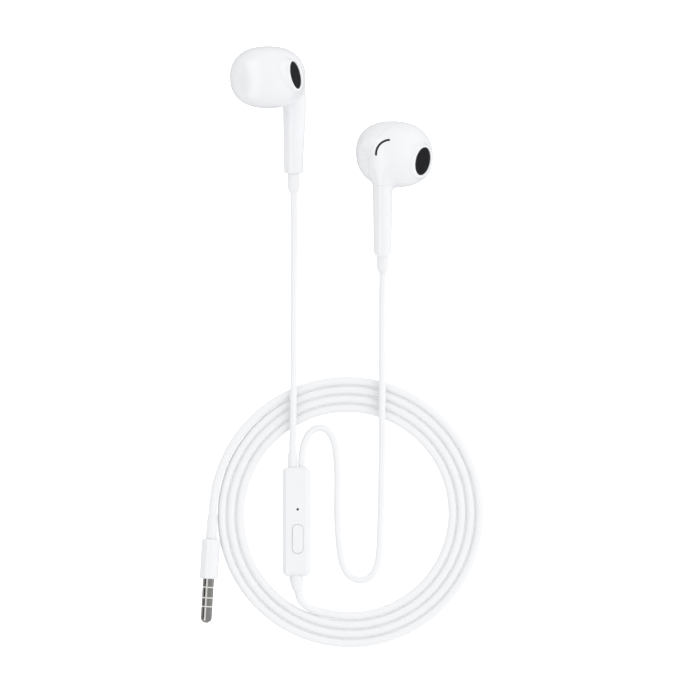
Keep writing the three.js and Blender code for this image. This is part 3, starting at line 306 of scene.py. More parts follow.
def onto_skin(distance, points):
    """Moves points straight to the skin."""
    away = slope(distance, points)
    return points - away * (distance(points) / (away**2).sum(-1))[:, None]


def skin(name, distance, low, high, step):
    """The surface where the distance is zero, as even quads of about one step."""
    axes = [np.arange(start, end + step, step) for start, end in zip(low, high)]
    grid = np.stack(np.meshgrid(*axes, indexing="ij"), -1)
    inside = distance(grid) < 0
    cells = [size - 1 for size in inside.shape]
    corners = np.zeros(cells, int)
    for shift in np.ndindex(2, 2, 2):
        window = tuple(slice(s, s + size) for s, size in zip(shift, cells))
        corners += inside[window]
    crossed = (corners > 0) & (corners < 8)
    index = np.full(cells, -1)
    index[crossed] = np.arange(crossed.sum())
    points = np.argwhere(crossed) * step + np.array(low) + step / 2
    quads = []
    for axis in range(3):
        one, other = (axis + 1) % 3, (axis + 2) % 3
        ahead = np.roll(inside, -1, axis)
        edges = np.argwhere(inside != ahead)
        edges = edges[edges[:, axis] < cells[axis]]
        around = []
        for back_one, back_other in ((1, 1), (0, 1), (0, 0), (1, 0)):
            cell = edges.copy()
            cell[:, one] -= back_one
            cell[:, other] -= back_other
            around.append(index[tuple(cell.T)])
        quad = np.stack(around, -1)
        leaving = inside[tuple(edges.T)]
        quads.append(np.where(leaving[:, None], quad, quad[:, ::-1]))
    quads = np.concatenate(quads)
    points = relaxed(distance, points, quads)
    return mesh_object(name, points.tolist(), quads.tolist())


def relaxed(distance, points, quads):
    """Spreads a skin's points evenly: each goes to its neighbours' middle and back on the skin."""
    pairs = np.concatenate([quads[:, [k, (k + 1) % 4]] for k in range(4)])
    pairs = np.concatenate([pairs, pairs[:, ::-1]])
    neighbours = np.bincount(pairs[:, 0], minlength=len(points))[:, None]
    for _ in range(FIRST_ROUNDS):
        points = onto_skin(distance, points)
    for _ in range(RELAX_ROUNDS):
        total = np.stack(
            [np.bincount(pairs[:, 0], points[pairs[:, 1], k], len(points)) for k in range(3)], -1
        )
        points = onto_skin(distance, total / neighbours)
    return onto_skin(distance, points)


# ---- Earbuds, in millimetres in their own frame ----

HEAD_HALF = np.array([11.9, 9.6, 12.1])
HEAD_CENTRE = np.array([-8.2, -0.4, 3.45])
HEAD_SQUARENESS = 2.3
HEAD_LEAN = 0.07  # how far its top leans back from the ear, for each millimetre up
SHELL_WALL = 1.0
FILLET_HEIGHTS = (-8.0, -3.0)
FILLETS = (2.0, 1.8)  # how far the skins of head and stem reach for each other, at these heights
NECK_FILLET = 2.6
NECK_CREASE = 0.4  # where the neck's end dies out into the head
SKIN_STEP = 0.25
CAVITY_STEP = 0.5
SKIN_MARGIN = 1.0  # what a skin's grid reaches past the head
LEAST_REACH = 1e-9  # keeps a body's middle from dividing by nought

STEM_LENGTH = 31.3
STEM_HALF = (3.3, 3.05)  # along x and z at its top
STEM_TAPER = 0.89
STEM_SWELL = 0.6  # what its front bulges more below the head, and where this comes and goes
SWELL_HEIGHTS = (-26.0, -12.0, -7.0, -3.0)
STEM_FULLNESS = 0.68
STEM_EDGE = 0.5
STEM_DOME_TOP = 0.4
STEM_DOME_FOOT = -4.2
STEM_JOINT = -5.6
STEM_OPEN_END = 3.0  # how far the cavity runs on past the stem's end

GRILLE_HALF = (2.75, 4.55)  # of the speaker opening
NOZZLE_RIM = 0.6
NOZZLE_EDGE = 0.4
NOZZLE_LIP = 0.25
NOZZLE_NECK_DEPTH = 4.9
NOZZLE_HOLE_DEPTH = 8.2
NOZZLE_LIP_TURN = math.radians(80)  # how far round the lip is drawn

SEAM_TURN = math.radians(34)
SEAM_SETBACK = 1.0
SEAM_GAP = 0.05
SEAM_ROWS = (0.04, 0.09, 0.16)  # from the seam's middle, where its rounded edge is bent in
SEAM_DEPTH = 0.06
NOTCH_RADIUS = 4.0  # of the root of the stem, where the front shell is notched round it

VENT_RADIUS = 4.5
VENT_WIDTH = 0.7
VENT_FROM = math.radians(-94)
VENT_TO = math.radians(-6)
VENT_LEAN = math.radians(26.5)
VENT_OFFSET = (-0.3, -1.0)  # of its arc's middle from the head's, along the cut's up and z
VENT_START = 4.7
VENT_SUNK = 0.22  # how far the mesh in the slot lies below the skin
VENT_STEPS = 24
VENT_MESH_FIT = 0.04
VENT_AIMS = 8  # rounds that bring the mesh's edge to its depth, from a first guess
VENT_GUESS = HEAD_HALF[0] * 0.9

SEAT_LOW = 2.9  # the driver's seat, along the seam's axis
SEAT_HIGH = 3.9
SEAT_RADIUS = 6.55

OVERREACH = 40  # longer than any piece of an earbud, for the solids that cut them


def frame_of(centre, normal, turn=0.0):
    """A place whose z is the normal and whose y is as near to up as can be."""
    z = Vector(normal).normalized()
    x = Vector((0, 1, 0)).cross(z).normalized()
    y = z.cross(x)
    axes = Matrix((x, y, z)).transposed().to_4x4()
    return Matrix.Translation(centre) @ axes @ Matrix.Rotation(turn, 4, "Z")


seam_frame = frame_of(HEAD_CENTRE, (math.sin(SEAM_TURN), 0, math.cos(SEAM_TURN)))
nozzle_frame = frame_of(NOZZLE_CENTRE, NOZZLE_NORMAL, NOZZLE_TURN)
stem_in_seam = seam_frame.inverted() @ Vector((0, 0, 0))


def blended(one, other, reach):
    """Two bodies in one, with a fillet where their skins come within reach of each other."""
    near = np.maximum(reach - np.abs(one - other), 0) / reach
    return np.minimum(one, other) - near**2 * reach / 4


def shared(one, other, edge):
    """What two bodies share, with a rounded edge."""
    beyond = np.hypot(np.maximum(one + edge, 0), np.maximum(other + edge, 0)) - edge
    return beyond + np.minimum(np.maximum(one, other) + edge, 0)


def oval_distance(offsets, halves, power=2):
    """The distance from an oval body along the ray from its middle, which offsets start from."""
    reach = sum(np.abs(offset / half) ** power for offset, half in zip(offsets, halves))
    length = np.sqrt(sum(offset**2 for offset in offsets))
    return length * (1 - np.maximum(reach, LEAST_REACH) ** (-1 / power))


def stem_distance(x, y, z, end):
    along = np.clip((STEM_DOME_FOOT - y) / (STEM_LENGTH + STEM_DOME_FOOT), 0, 1)
    middle_size = 1 - (1 - STEM_TAPER) * (1 - STEM_FULLNESS)
    bend = 2 * (1 + STEM_TAPER - 2 * middle_size)
    size = 1 + (STEM_TAPER - 1 - bend) * along + bend * along**2
    above = np.maximum(y - STEM_DOME_FOOT, 0)
    swell = np.where(x > 0, np.interp(y, SWELL_HEIGHTS, (0, STEM_SWELL, STEM_SWELL, 0)), 0)
    halves = (STEM_HALF[0] * size + swell, STEM_HALF[1] * size, STEM_DOME_TOP - STEM_DOME_FOOT)
    return shared(oval_distance((x, z, above), halves), -end - y, STEM_EDGE)


def earbud_distance(points, end=STEM_LENGTH):
    """How far a point lies outside the earbud: the head, the stem and the speaker's oval neck."""
    x, y, z = np.moveaxis(points, -1, 0)
    ahead, over, beside = np.moveaxis(points - HEAD_CENTRE, -1, 0)
    head = oval_distance((ahead, over, beside + HEAD_LEAN * over), HEAD_HALF, HEAD_SQUARENESS)
    body = blended(head, stem_distance(x, y, z, end), np.interp(y, FILLET_HEIGHTS, FILLETS))
    turn = np.array(nozzle_frame.to_3x3())
    across, up, out = np.moveaxis((points - np.array(NOZZLE_CENTRE)) @ turn, -1, 0)
    halves = [half + NOZZLE_RIM for half in GRILLE_HALF]
    neck = np.maximum(oval_distance((across, up), halves), -NOZZLE_NECK_DEPTH - out)
    collar = shared(blended(body, neck, NECK_FILLET), out, NOZZLE_EDGE)
    return blended(body, collar, NECK_CREASE)


def cavity_distance(points):
    return earbud_distance(points, STEM_LENGTH + STEM_OPEN_END) + SHELL_WALL


def earbud_skin(name, distance, step, end):
    low = HEAD_CENTRE - HEAD_HALF - SKIN_MARGIN
    high = np.maximum(HEAD_CENTRE + HEAD_HALF, [STEM_HALF[0], 0, 0]) + SKIN_MARGIN
    low[1] = -end - SKIN_MARGIN
    return skin(name, distance, low.tolist(), high.tolist(), step)


def seam_rows(body):
    """Rounds the edges of the seam: rows of points along it, each bent a little into the wall."""
    mesh = bmesh.new()
    mesh.from_mesh(body.data)
    normal = seam_frame.to_3x3() @ Vector((0, 0, 1))
    origin = seam_frame @ Vector((0, 0, -SEAM_SETBACK))
    for row in SEAM_ROWS:
        for side in (-1, 1):
            everything = mesh.verts[:] + mesh.edges[:] + mesh.faces[:]
            place = origin + normal * side * row
            bmesh.ops.bisect_plane(mesh, geom=everything, plane_co=place, plane_no=normal)
    mesh.normal_update()
    for vertex in mesh.verts:
        across = abs((vertex.co - origin) @ normal)
        if across < SEAM_ROWS[-1] and not in_notch(vertex.co):
            vertex.co -= vertex.normal * SEAM_DEPTH * (1 - across / SEAM_ROWS[-1]) ** 2
    mesh.to_mesh(body.data)
    mesh.free()


def in_notch(point):
    across = (seam_frame.inverted() @ point).x - stem_in_seam.x
    return point.y < STEM_JOINT and abs(across) < NOTCH_RADIUS


def arc(centre, radius, start, end, steps):
    angles = [start + (end - start) * k / steps for k in range(steps + 1)]
    return [centre + radius * Vector((math.cos(a), math.sin(a))) for a in angles]


def notch(name, margin):
    """The root of the stem as a solid: round in front, and straight back through the seam."""
    root = stem_in_seam.xz
    radius = NOTCH_RADIUS + margin
    back = -SEAM_SETBACK - SHELL_WALL
    outline = arc(root, radius, 0, math.pi, ROUND)
    outline += [Vector((root.x + x, back)) for x in (-radius, radius)]
    rings = [[(x, y, z) for x, z in outline] for y in (STEM_JOINT + margin, -OVERREACH)]
    return face_out(moved(loft(name, rings), seam_frame))


def seam_block(name, side):
    """Everything in front of the seam, for side 1, or behind it, for side -1."""
    near, far = side * SEAM_GAP / 2 - SEAM_SETBACK, side * OVERREACH
    block = slab(name, (-OVERREACH, -OVERREACH, near), (OVERREACH, OVERREACH, far))
    return face_out(moved(block, seam_frame))


def nozzle_hole():
    """The oval opening, with a rounded lip."""
    profile = [(-NOZZLE_HOLE_DEPTH, 0.0)]
    for step in range(CORNER_STEPS + 1):
        angle = NOZZLE_LIP_TURN * step / CORNER_STEPS
        profile.append((-NOZZLE_LIP * (1 - math.sin(angle)), NOZZLE_LIP * (1 - math.cos(angle))))
    profile.append((NOZZLE_LIP, 4 * NOZZLE_LIP))
    rings = [at_height(oval(*(half + wider for half in GRILLE_HALF)), z) for z, wider in profile]
    return moved(loft("nozzle_hole", rings), nozzle_frame)


vent_out = Vector((math.cos(VENT_LEAN), math.sin(VENT_LEAN), 0))
vent_up = Vector((-math.sin(VENT_LEAN), math.cos(VENT_LEAN), 0))
vent_middle = Vector(HEAD_CENTRE) + vent_up * VENT_OFFSET[0] + Vector((0, 0, VENT_OFFSET[1]))
vent_frame = (
    Matrix.Translation(vent_middle)
    @ Matrix((vent_up, Vector((0, 0, 1)), vent_out)).transposed().to_4x4()
)


def vent_outline(margin):
    """The curved slot's outline: two arcs joined by round ends."""
    half = VENT_WIDTH / 2 + margin
    origin = Vector((0, 0))
    start, end = (VENT_RADIUS * Vector((math.cos(a), math.sin(a))) for a in (VENT_FROM, VENT_TO))
    outline = arc(origin, VENT_RADIUS + half, VENT_FROM, VENT_TO, VENT_STEPS)
    outline += arc(end, half, VENT_TO, VENT_TO + math.pi, CORNER_STEPS)[1:]
    outline += arc(origin, VENT_RADIUS - half, VENT_TO, VENT_FROM, VENT_STEPS)[1:]
    outline += arc(start, half, VENT_FROM + math.pi, VENT_FROM + 2 * math.pi, CORNER_STEPS)[1:-1]
    return outline


def vent_slot():
    rings = [at_height(vent_outline(0), z) for z in (VENT_START, OVERREACH)]
    return face_out(moved(loft("vent_slot", rings), vent_frame))


def driver_seat():
    """The ring inside the front shell that the driver is held against."""
    seat = turned("driver_seat", [
        (SEAT_RADIUS, SEAT_LOW, 0),
        (OVERREACH, SEAT_LOW, 0),
        (OVERREACH, SEAT_HIGH, 0),
        (SEAT_RADIUS, SEAT_HIGH, 0),
    ])
    return moved(seat, seam_frame @ Matrix.Rotation(math.pi / 2, 4, "X"))


def earbud_shells():
    """The front and the rear shell, both cut from one skin so that they meet in an even seam."""
    outside = earbud_skin("outside", earbud_distance, SKIN_STEP, STEM_LENGTH)
    seam_rows(outside)
    cavity = earbud_skin("cavity", cavity_distance, CAVITY_STEP, STEM_LENGTH + STEM_OPEN_END)
    seat = driver_seat()
    cross(seat, copied(outside, "seat_limit"))
    rear = copied(outside, "rear")
    behind = seam_block("behind", -1)
    join(behind, notch("root", -SEAM_GAP))
    cross(rear, behind)
    cut(rear, copied(cavity, "rear_cavity"))
    front = outside
    cut(front, cavity)
    join(front, seat)
    cross(front, seam_block("ahead", 1))
    cut(front, notch("front_notch", 0))
    cut(front, nozzle_hole())
    cut(front, vent_slot())
    return front, rear


def vent_insert():
    """The black mesh that fills the slot, a little below the skin."""
    out = np.array(vent_frame.to_3x3() @ Vector((0, 0, 1)))
    outline = np.array([tuple(vent_frame @ Vector((*p, 0))) for p in vent_outline(-VENT_MESH_FIT)])
    reach = np.full(len(outline), VENT_GUESS)
    for _ in range(VENT_AIMS):
        points = outline + out * reach[:, None]
        growth = (slope(earbud_distance, points) * out).sum(-1)
        reach -= (earbud_distance(points) + VENT_SUNK) / growth
    rings = [(outline + out * (reach - depth)[:, None]).tolist() for depth in (SHELL_WALL, 0)]
    return face_out(loft("vent_insert", rings))


# The speaker's grille: black wire woven over and under, in an oval frame over a dark backing
GRILLE_PITCH = 0.32
GRILLE_WIRE = 0.085
GRILLE_WIRE_SIDES = 6
GRILLE_WIRE_STEPS = 4.0  # to a pitch
GRILLE_FRAME = 0.2
GRILLE_FRAME_SIDES = 12
GRILLE_FIT = 0.06
GRILLE_BACKING_DEPTH = 0.45
GRILLE_BACKING_THICKNESS = 0.15
GRILLE_SIDES = 96


def tree_node(tree, kind, inputs=None, **settings):
    """A node of a tree. An input is a value, or the output that feeds it."""
    made = tree.nodes.new(kind)
    for setting, value in settings.items():
        setattr(made, setting, value)
    for socket, value in (inputs or {}).items():
        if isinstance(value, bpy.types.NodeSocket):
            tree.links.new(value, made.inputs[socket])
        else:
            made.inputs[socket].default_value = value
    return made


def shade(tree, kind, inputs, **settings):
    """The first output of a new shader node."""
    return tree_node(tree, "ShaderNode" + kind, inputs, **settings).outputs[0]


def math_node(tree, operation, *values):
    return shade(tree, "Math", dict(enumerate(values)), operation=operation)


def grille_tree(sizes):
    """Wires along two directions, bent over and under each other and trimmed to an oval."""
    tree = bpy.data.node_groups.new("woven_grille", "GeometryNodeTree")
    for name in sizes:
        tree.interface.new_socket(name, in_out="INPUT", socket_type="NodeSocketFloat")
    tree.interface.new_socket("Finish", in_out="INPUT", socket_type="NodeSocketMaterial")
    tree.interface.new_socket("Geometry", in_out="OUTPUT", socket_type="NodeSocketGeometry")
    given = tree.nodes.new("NodeGroupInput").outputs
    joined = tree.nodes.new("GeometryNodeJoinGeometry")

    def shape(kind, inputs, **settings):
        return tree_node(tree, "GeometryNode" + kind, inputs, **settings).outputs[0]

    def vector(parts):
        return shade(tree, "CombineXYZ", parts)

    def times(one, other):
        return math_node(tree, "MULTIPLY", one, other)

    def over(one, other):
        return math_node(tree, "DIVIDE", one, other)

    def circle(sides, radius):
        return shape("CurvePrimitiveCircle", {"Resolution": sides, "Radius": radius})

    halves = (given["Half Width"], given["Half Length"])
    pitch = given["Pitch"]
    place = tree_node(tree, "ShaderNodeSeparateXYZ", {0: shape("InputPosition", {})}).outputs
    phases = [over(times(place[axis], math.pi), pitch) for axis in (0, 1)]
    waves = [math_node(tree, "COSINE", phase) for phase in phases]
    heights = times(times(*waves), given["Wire"])
    shares = [over(place[axis], halves[axis]) for axis in (0, 1)]
    squares = [times(share, share) for share in shares]
    outside = math_node(tree, "GREATER_THAN", math_node(tree, "ADD", *squares), 1.0)
    section = circle(GRILLE_WIRE_SIDES, given["Wire"])
    for across, along, side in ((0, 1, 1.0), (1, 0, -1.0)):
        runs = math_node(tree, "FLOOR", over(halves[across], pitch))
        row = shape("MeshLine", {
            "Count": math_node(tree, "ADD", times(runs, 2.0), 1.0),
            "Start Location": vector({across: times(times(runs, pitch), -1.0)}),
            "Offset": vector({across: pitch}),
        })
        line = shape("CurvePrimitiveLine", {
            "Start": vector({along: times(halves[along], -1.0)}),
            "End": vector({along: halves[along]}),
        })
        step = over(pitch, GRILLE_WIRE_STEPS)
        line = shape("ResampleCurve", {"Curve": line, "Length": step}, mode="LENGTH")
        wires = shape("InstanceOnPoints", {"Points": row, "Instance": line})
        wires = shape("RealizeInstances", {0: wires})
        wires = shape("DeleteGeometry", {"Geometry": wires, "Selection": outside})
        lift = vector({2: times(heights, side)})
        wires = shape("SetPosition", {"Geometry": wires, "Offset": lift})
        wires = shape("CurveToMesh", {"Curve": wires, "Profile Curve": section, "Fill Caps": True})
        tree.links.new(wires, joined.inputs[0])
    size = vector({0: halves[0], 1: halves[1], 2: 1.0})
    edge = shape("Transform", {"Geometry": circle(GRILLE_SIDES, 1.0), "Scale": size})
    section = circle(GRILLE_FRAME_SIDES, given["Frame"])
    ring = shape("CurveToMesh", {"Curve": edge, "Profile Curve": section})
    tree.links.new(ring, joined.inputs[0])
    disc = shape("MeshCylinder", {
        "Vertices": GRILLE_SIDES, "Radius": 1.0, "Depth": GRILLE_BACKING_THICKNESS,
    })
    below = vector({2: times(given["Backing Depth"], -1.0)})
    disc = shape("Transform", {"Geometry": disc, "Scale": size, "Translation": below})
    tree.links.new(disc, joined.inputs[0])
    real = shape("RealizeInstances", {0: joined.outputs[0]})
    finish = shape("SetMaterial", {"Geometry": real, "Material": given["Finish"]})
    tree_node(tree, "NodeGroupOutput", {0: finish})
    return tree


def woven_grille(name, material):
    sizes = {
        "Half Width": GRILLE_HALF[0] - GRILLE_FRAME - GRILLE_FIT,
        "Half Length": GRILLE_HALF[1] - GRILLE_FRAME - GRILLE_FIT,
        "Pitch": GRILLE_PITCH,
        "Wire": GRILLE_WIRE,
        "Frame": GRILLE_FRAME,
        "Backing Depth": GRILLE_BACKING_DEPTH,
    }
    grille = mesh_object(name, [], [])
    modifier = grille.modifiers.new("weave", "NODES")
    modifier.node_group = grille_tree(sizes)
    values = {**sizes, "Finish": material}
    for item in modifier.node_group.interface.items_tree:
        if item.in_out == "INPUT":
            modifier[item.identifier] = values[item.name]
    settle(grille)
    depth = -GRILLE_RECESS - GRILLE_FRAME
    return moved(grille, nozzle_frame @ Matrix.Translation((0, 0, depth)))


# The strain relief below the stem
RELIEF_TOP = -STEM_LENGTH - 0.08
RELIEF_SLEEVE_END = -STEM_LENGTH - 4.9
RELIEF_TIP = RELIEF_SLEEVE_END - 1.6
RELIEF_RADIUS = 1.9
RELIEF_TIP_RADIUS = 1.3
RELIEF_EDGE = 0.2
RELIEF_SHOULDER = 0.5
RELIEF_TIP_EDGE = 0.12
RELIEF_BORE = 1.13
RELIEF_BORE_DEPTH = 1.6
RELIEF_PLUG_TOP = -STEM_LENGTH + 3.4
RELIEF_PLUG_RADIUS = 1.3
BORE_EDGE = 0.03  # at the mouth of every cord's bore


def strain_relief(name):
    return turned(name, [
        (0, RELIEF_PLUG_TOP, 0),
        (RELIEF_PLUG_RADIUS, RELIEF_PLUG_TOP, RELIEF_EDGE),
        (RELIEF_PLUG_RADIUS, RELIEF_TOP, 0),
        (RELIEF_RADIUS, RELIEF_TOP, RELIEF_EDGE),
        (RELIEF_RADIUS, RELIEF_SLEEVE_END, RELIEF_SHOULDER),
        (RELIEF_TIP_RADIUS, RELIEF_TIP, RELIEF_TIP_EDGE),
        (RELIEF_BORE, RELIEF_TIP, BORE_EDGE),
        (RELIEF_BORE, RELIEF_TIP + RELIEF_BORE_DEPTH, 0),
        (0, RELIEF_TIP + RELIEF_BORE_DEPTH, 0),
    ])


# ---- Remote, in millimetres over its middle, with z = 0 on the surface ----

REMOTE_WIDTH, REMOTE_LENGTH, REMOTE_HEIGHT = (remote_high - remote_low) / MM
REMOTE_CORNER = 1.6
REMOTE_EDGE = 1.4  # how far the bevelled edge reaches in from the side, and down from the top
REMOTE_EDGE_CURVE = 1.5  # 1 is a straight bevel and 2 a round one
REMOTE_EDGE_STEPS = 10
REMOTE_FACE_STEP = 0.08  # a narrow rim, which keeps the face flat inside it
REMOTE_WALL = 0.9
REMOTE_SEAM_GAP = 0.08
REMOTE_SEAM_EDGE = 0.12
REMOTE_AXIS = remote_axis / MM

BUTTON_MIDDLE = (middle("remote_button") - remote_middle) / MM
BUTTON_WIDTH = 3.4
BUTTON_LENGTH = 9.2
BUTTON_CORNER = 1.5
BUTTON_GAP = 0.05
BUTTON_LIP = 0.08
BUTTON_EDGE = 0.4
BUTTON_CROWN = 0.1
BUTTON_CROWN_SHARES = (0.35, 0.7, 0.95)  # of the way in from its edge
BUTTON_FLANGE = 0.5
BUTTON_LOW, BUTTON_HIGH = (corner.z / MM for corner in map(Vector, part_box("remote_button")))
BUTTON_FLANGE_TOP = BUTTON_LOW + 0.6
MICROPHONE_MIDDLE = (middle("remote_microphone") - remote_middle) / MM
MICROPHONE_HOLE = 0.375
MICROPHONE_LIP = 0.1
MICROPHONE_SIDES = ROUND // 2

RIB_WIDTH = 1.0
RIB_HIGH = 1.6
RIB_ASIDE = REMOTE_WIDTH / 2 - REMOTE_WALL - 0.9
RIB_LENGTH = 30.3
LEAST_CORNER = 0.3
LEAST_BUTTON_CORNER = 0.05
HOLE_MARGIN = 0.01  # how far a hole's mouth is drawn past the face
HOLE_PAST = 1.0

LEFT_ENTRY = (middle("remote_left_sleeve").x - remote_middle.x) / MM
RIGHT_ENTRY = (middle("remote_right_grommet").x - remote_middle.x) / MM
ENTRY_SLEEVE_LENGTH = 4.7
ENTRY_SLEEVE_RADIUS = 1.5
ENTRY_NECK = 1.2
ENTRY_BORE = 1.12
ENTRY_BORE_DEPTH = 1.4
ENTRY_FIT = 0.03
HOLE_IN = 2.0  # how far a cord's hole is cut in from the remote's end, and out from it
HOLE_OUT = 1.0
ENTRY_GAP = 0.03  # between the remote's end and the sleeve outside it
ENTRY_SHAPE = ((1.01, 0.7, 1.5), (0.88, 1.0, 0.15))  # shares of radius and length, and the edge
ENTRY_EDGE = 0.15
GROMMET_EDGE = 0.02
FLANGE_GAP = 0.1  # behind the wall
FLANGE_EDGE = 0.1
FLANGE_THICKNESS = 0.7
FLANGE_RADIUS = 1.35
TRUNK_FLANGE_FIT = 0.15
TRUNK_NECK = 1.5
TRUNK_BORE = 1.38
TRUNK_RELIEF_RADIUS = 2.3
TRUNK_RELIEF_TIP = 1.5
TRUNK_RELIEF_LENGTH = 4.6
TRUNK_RELIEF_STRAIGHT = 0.5
TRUNK_RELIEF_BEND = math.radians(16)
TRUNK_RELIEF_CURVE = 1.4
TRUNK_RELIEF_STEPS = 24
TRUNK_RELIEF_START = ((0.05, 0.15), (0.1, 0.04))  # how far along, and how far in from the radius
TRUNK_RELIEF_END = ((0.05, 0.02), (0, 0.08))  # how far from the end, and how far in from the tip
TRUNK_ROOT_FIT = 0.06  # how far the root lies inside the relief's radius
TRUNK_ROOT_GAP = 0.06  # between the root and the remote
TRUNK_ROOT_OUT = 0.3  # where the root ends, out from the remote's end


def remote_ring(inset, z):
    corner = max(REMOTE_CORNER - inset, LEAST_CORNER)
    outline = rounded_rectangle(REMOTE_WIDTH - 2 * inset, REMOTE_LENGTH - 2 * inset, corner)
    return at_height(outline, z)


def bevelled_edge():
    """How far in and how far down the edge lies, from its foot on the side to the flat face."""
    power = 2 / REMOTE_EDGE_CURVE
    angles = [math.pi / 2 * step / REMOTE_EDGE_STEPS for step in range(REMOTE_EDGE_STEPS + 1)]
    return [
        [REMOTE_EDGE * (1 - share(angle) ** power) for share in (math.cos, math.sin)]
        for angle in angles
    ]


def remote_half(name):
    """The upper half of the remote's outside, from the seam to its face."""
    seam = REMOTE_HEIGHT / 2 + REMOTE_SEAM_GAP / 2
    edge = REMOTE_SEAM_EDGE
    lip = ((edge, 0), (edge / 3, edge / 3), (0, edge))
    rings = [remote_ring(inset, seam + up) for inset, up in lip]
    rings += [remote_ring(inset, REMOTE_HEIGHT - down) for inset, down in bevelled_edge()]
    rings.append(remote_ring(REMOTE_EDGE + REMOTE_FACE_STEP, REMOTE_HEIGHT))
    return loft(name, rings)


def remote_cavity():
    size = (length - 2 * REMOTE_WALL for length in (REMOTE_WIDTH, REMOTE_LENGTH))
    outline = rounded_rectangle(*size, REMOTE_CORNER - REMOTE_WALL)
    heights = (REMOTE_WALL, REMOTE_HEIGHT - REMOTE_WALL)
    return loft("remote_cavity", [at_height(outline, z) for z in heights])


def along_y(radius, x, low, high):
    rod = turned("rod", [(0, low, 0), (radius, low, 0), (radius, high, 0), (0, high, 0)])
    return moved(rod, Matrix.Translation((x, 0, REMOTE_AXIS)))


def button_outline(margin, z):
    corner = max(BUTTON_CORNER + margin, LEAST_BUTTON_CORNER)
    outline = rounded_rectangle(BUTTON_WIDTH + 2 * margin, BUTTON_LENGTH + 2 * margin, corner)
    return at_height(outline, z, BUTTON_MIDDLE[:2])


def microphone_outline(margin, z):
    radius = MICROPHONE_HOLE + margin
    return at_height(oval(radius, radius, MICROPHONE_SIDES), z, MICROPHONE_MIDDLE[:2])


def remote_shells():
    end = REMOTE_LENGTH / 2
    top = REMOTE_HEIGHT
    front = remote_half("remote_front_shell_body")
    flip = Matrix.Translation((0, 0, top)) @ Matrix.Rotation(math.pi, 4, "Y")
    rear = moved(remote_half("remote_rear_shell_body"), flip)
    holes = (
        (ENTRY_NECK, LEFT_ENTRY, end - HOLE_IN, end + HOLE_OUT),
        (ENTRY_NECK, RIGHT_ENTRY, end - HOLE_IN, end + HOLE_OUT),
        (TRUNK_NECK, 0, -end - HOLE_OUT, -end + HOLE_IN),
    )
    for shell in (front, rear):
        cut(shell, remote_cavity())
        for neck, x, low, high in holes:
            cut(shell, along_y(neck + ENTRY_FIT, x, low, high))
    for side in (-1, 1):
        x = side * RIB_ASIDE
        low = (x - RIB_WIDTH / 2, -RIB_LENGTH / 2, REMOTE_WALL / 2)
        join(rear, slab("rib", low, (x + RIB_WIDTH / 2, RIB_LENGTH / 2, RIB_HIGH)))
    cut(front, loft("button_hole", [
        button_outline(BUTTON_GAP, top / 2),
        button_outline(BUTTON_GAP, top - BUTTON_LIP),
        button_outline(BUTTON_GAP + BUTTON_LIP / 3, top - BUTTON_LIP / 2),
        button_outline(BUTTON_GAP + BUTTON_LIP, top + HOLE_MARGIN),
        button_outline(BUTTON_GAP + BUTTON_LIP, top + HOLE_PAST),
    ]))
    cut(front, loft("microphone_hole", [
        microphone_outline(0, top / 2),
        microphone_outline(0, top - MICROPHONE_LIP),
        microphone_outline(MICROPHONE_LIP, top + HOLE_MARGIN),
        microphone_outline(MICROPHONE_LIP, top + HOLE_PAST),
    ]))
    return front, rear


def remote_button():
    """The cap with its flange under the shell, a rounded edge and a slight crown."""
    rings = [button_outline(BUTTON_FLANGE, z) for z in (BUTTON_LOW, BUTTON_FLANGE_TOP)]
    rings.append(button_outline(0, BUTTON_FLANGE_TOP))
    shoulder = BUTTON_HIGH - BUTTON_CROWN
    for step in range(CORNER_STEPS + 1):
        angle = math.pi / 2 * step / CORNER_STEPS
        inset = BUTTON_EDGE * (1 - math.cos(angle))
        rings.append(button_outline(-inset, shoulder - BUTTON_EDGE * (1 - math.sin(angle))))
    for share in BUTTON_CROWN_SHARES:
        inset = BUTTON_EDGE + share * (BUTTON_WIDTH / 2 - BUTTON_EDGE)
        rings.append(button_outline(-inset, shoulder + BUTTON_CROWN * (1 - (1 - share) ** 2)))
    return loft("button_cap", rings)


def cord_entry(name, x, outside, edge):
    """A flange behind the remote's wall, a neck through it, what shows outside, and the bore."""
    inside = REMOTE_LENGTH / 2 - REMOTE_WALL - FLANGE_GAP
    tip = outside[-1][1]
    piece = turned(name, [
        (0, inside - FLANGE_THICKNESS, 0),
        (FLANGE_RADIUS, inside - FLANGE_THICKNESS, FLANGE_EDGE),
        (FLANGE_RADIUS, inside, 0),
        (ENTRY_NECK, inside, 0),
        *outside,
        (ENTRY_BORE, tip, edge),
        (ENTRY_BORE, tip - ENTRY_BORE_DEPTH, 0),
        (0, tip - ENTRY_BORE_DEPTH, 0),
    ])
    return moved(piece, Matrix.Translation((x, 0, REMOTE_AXIS)))


def left_sleeve():
    end = REMOTE_LENGTH / 2
    root = end + ENTRY_GAP
    outside = [(ENTRY_NECK, root, 0), (ENTRY_SLEEVE_RADIUS, root, ENTRY_EDGE)]
    for wide, along, edge in ENTRY_SHAPE:
        outside.append((ENTRY_SLEEVE_RADIUS * wide, end + along * ENTRY_SLEEVE_LENGTH, edge))
    return cord_entry("left_entry", LEFT_ENTRY, outside, BORE_EDGE)


def right_grommet():
    outside = [(ENTRY_NECK, REMOTE_LENGTH / 2, GROMMET_EDGE)]
    return cord_entry("right_entry", RIGHT_ENTRY, outside, GROMMET_EDGE)


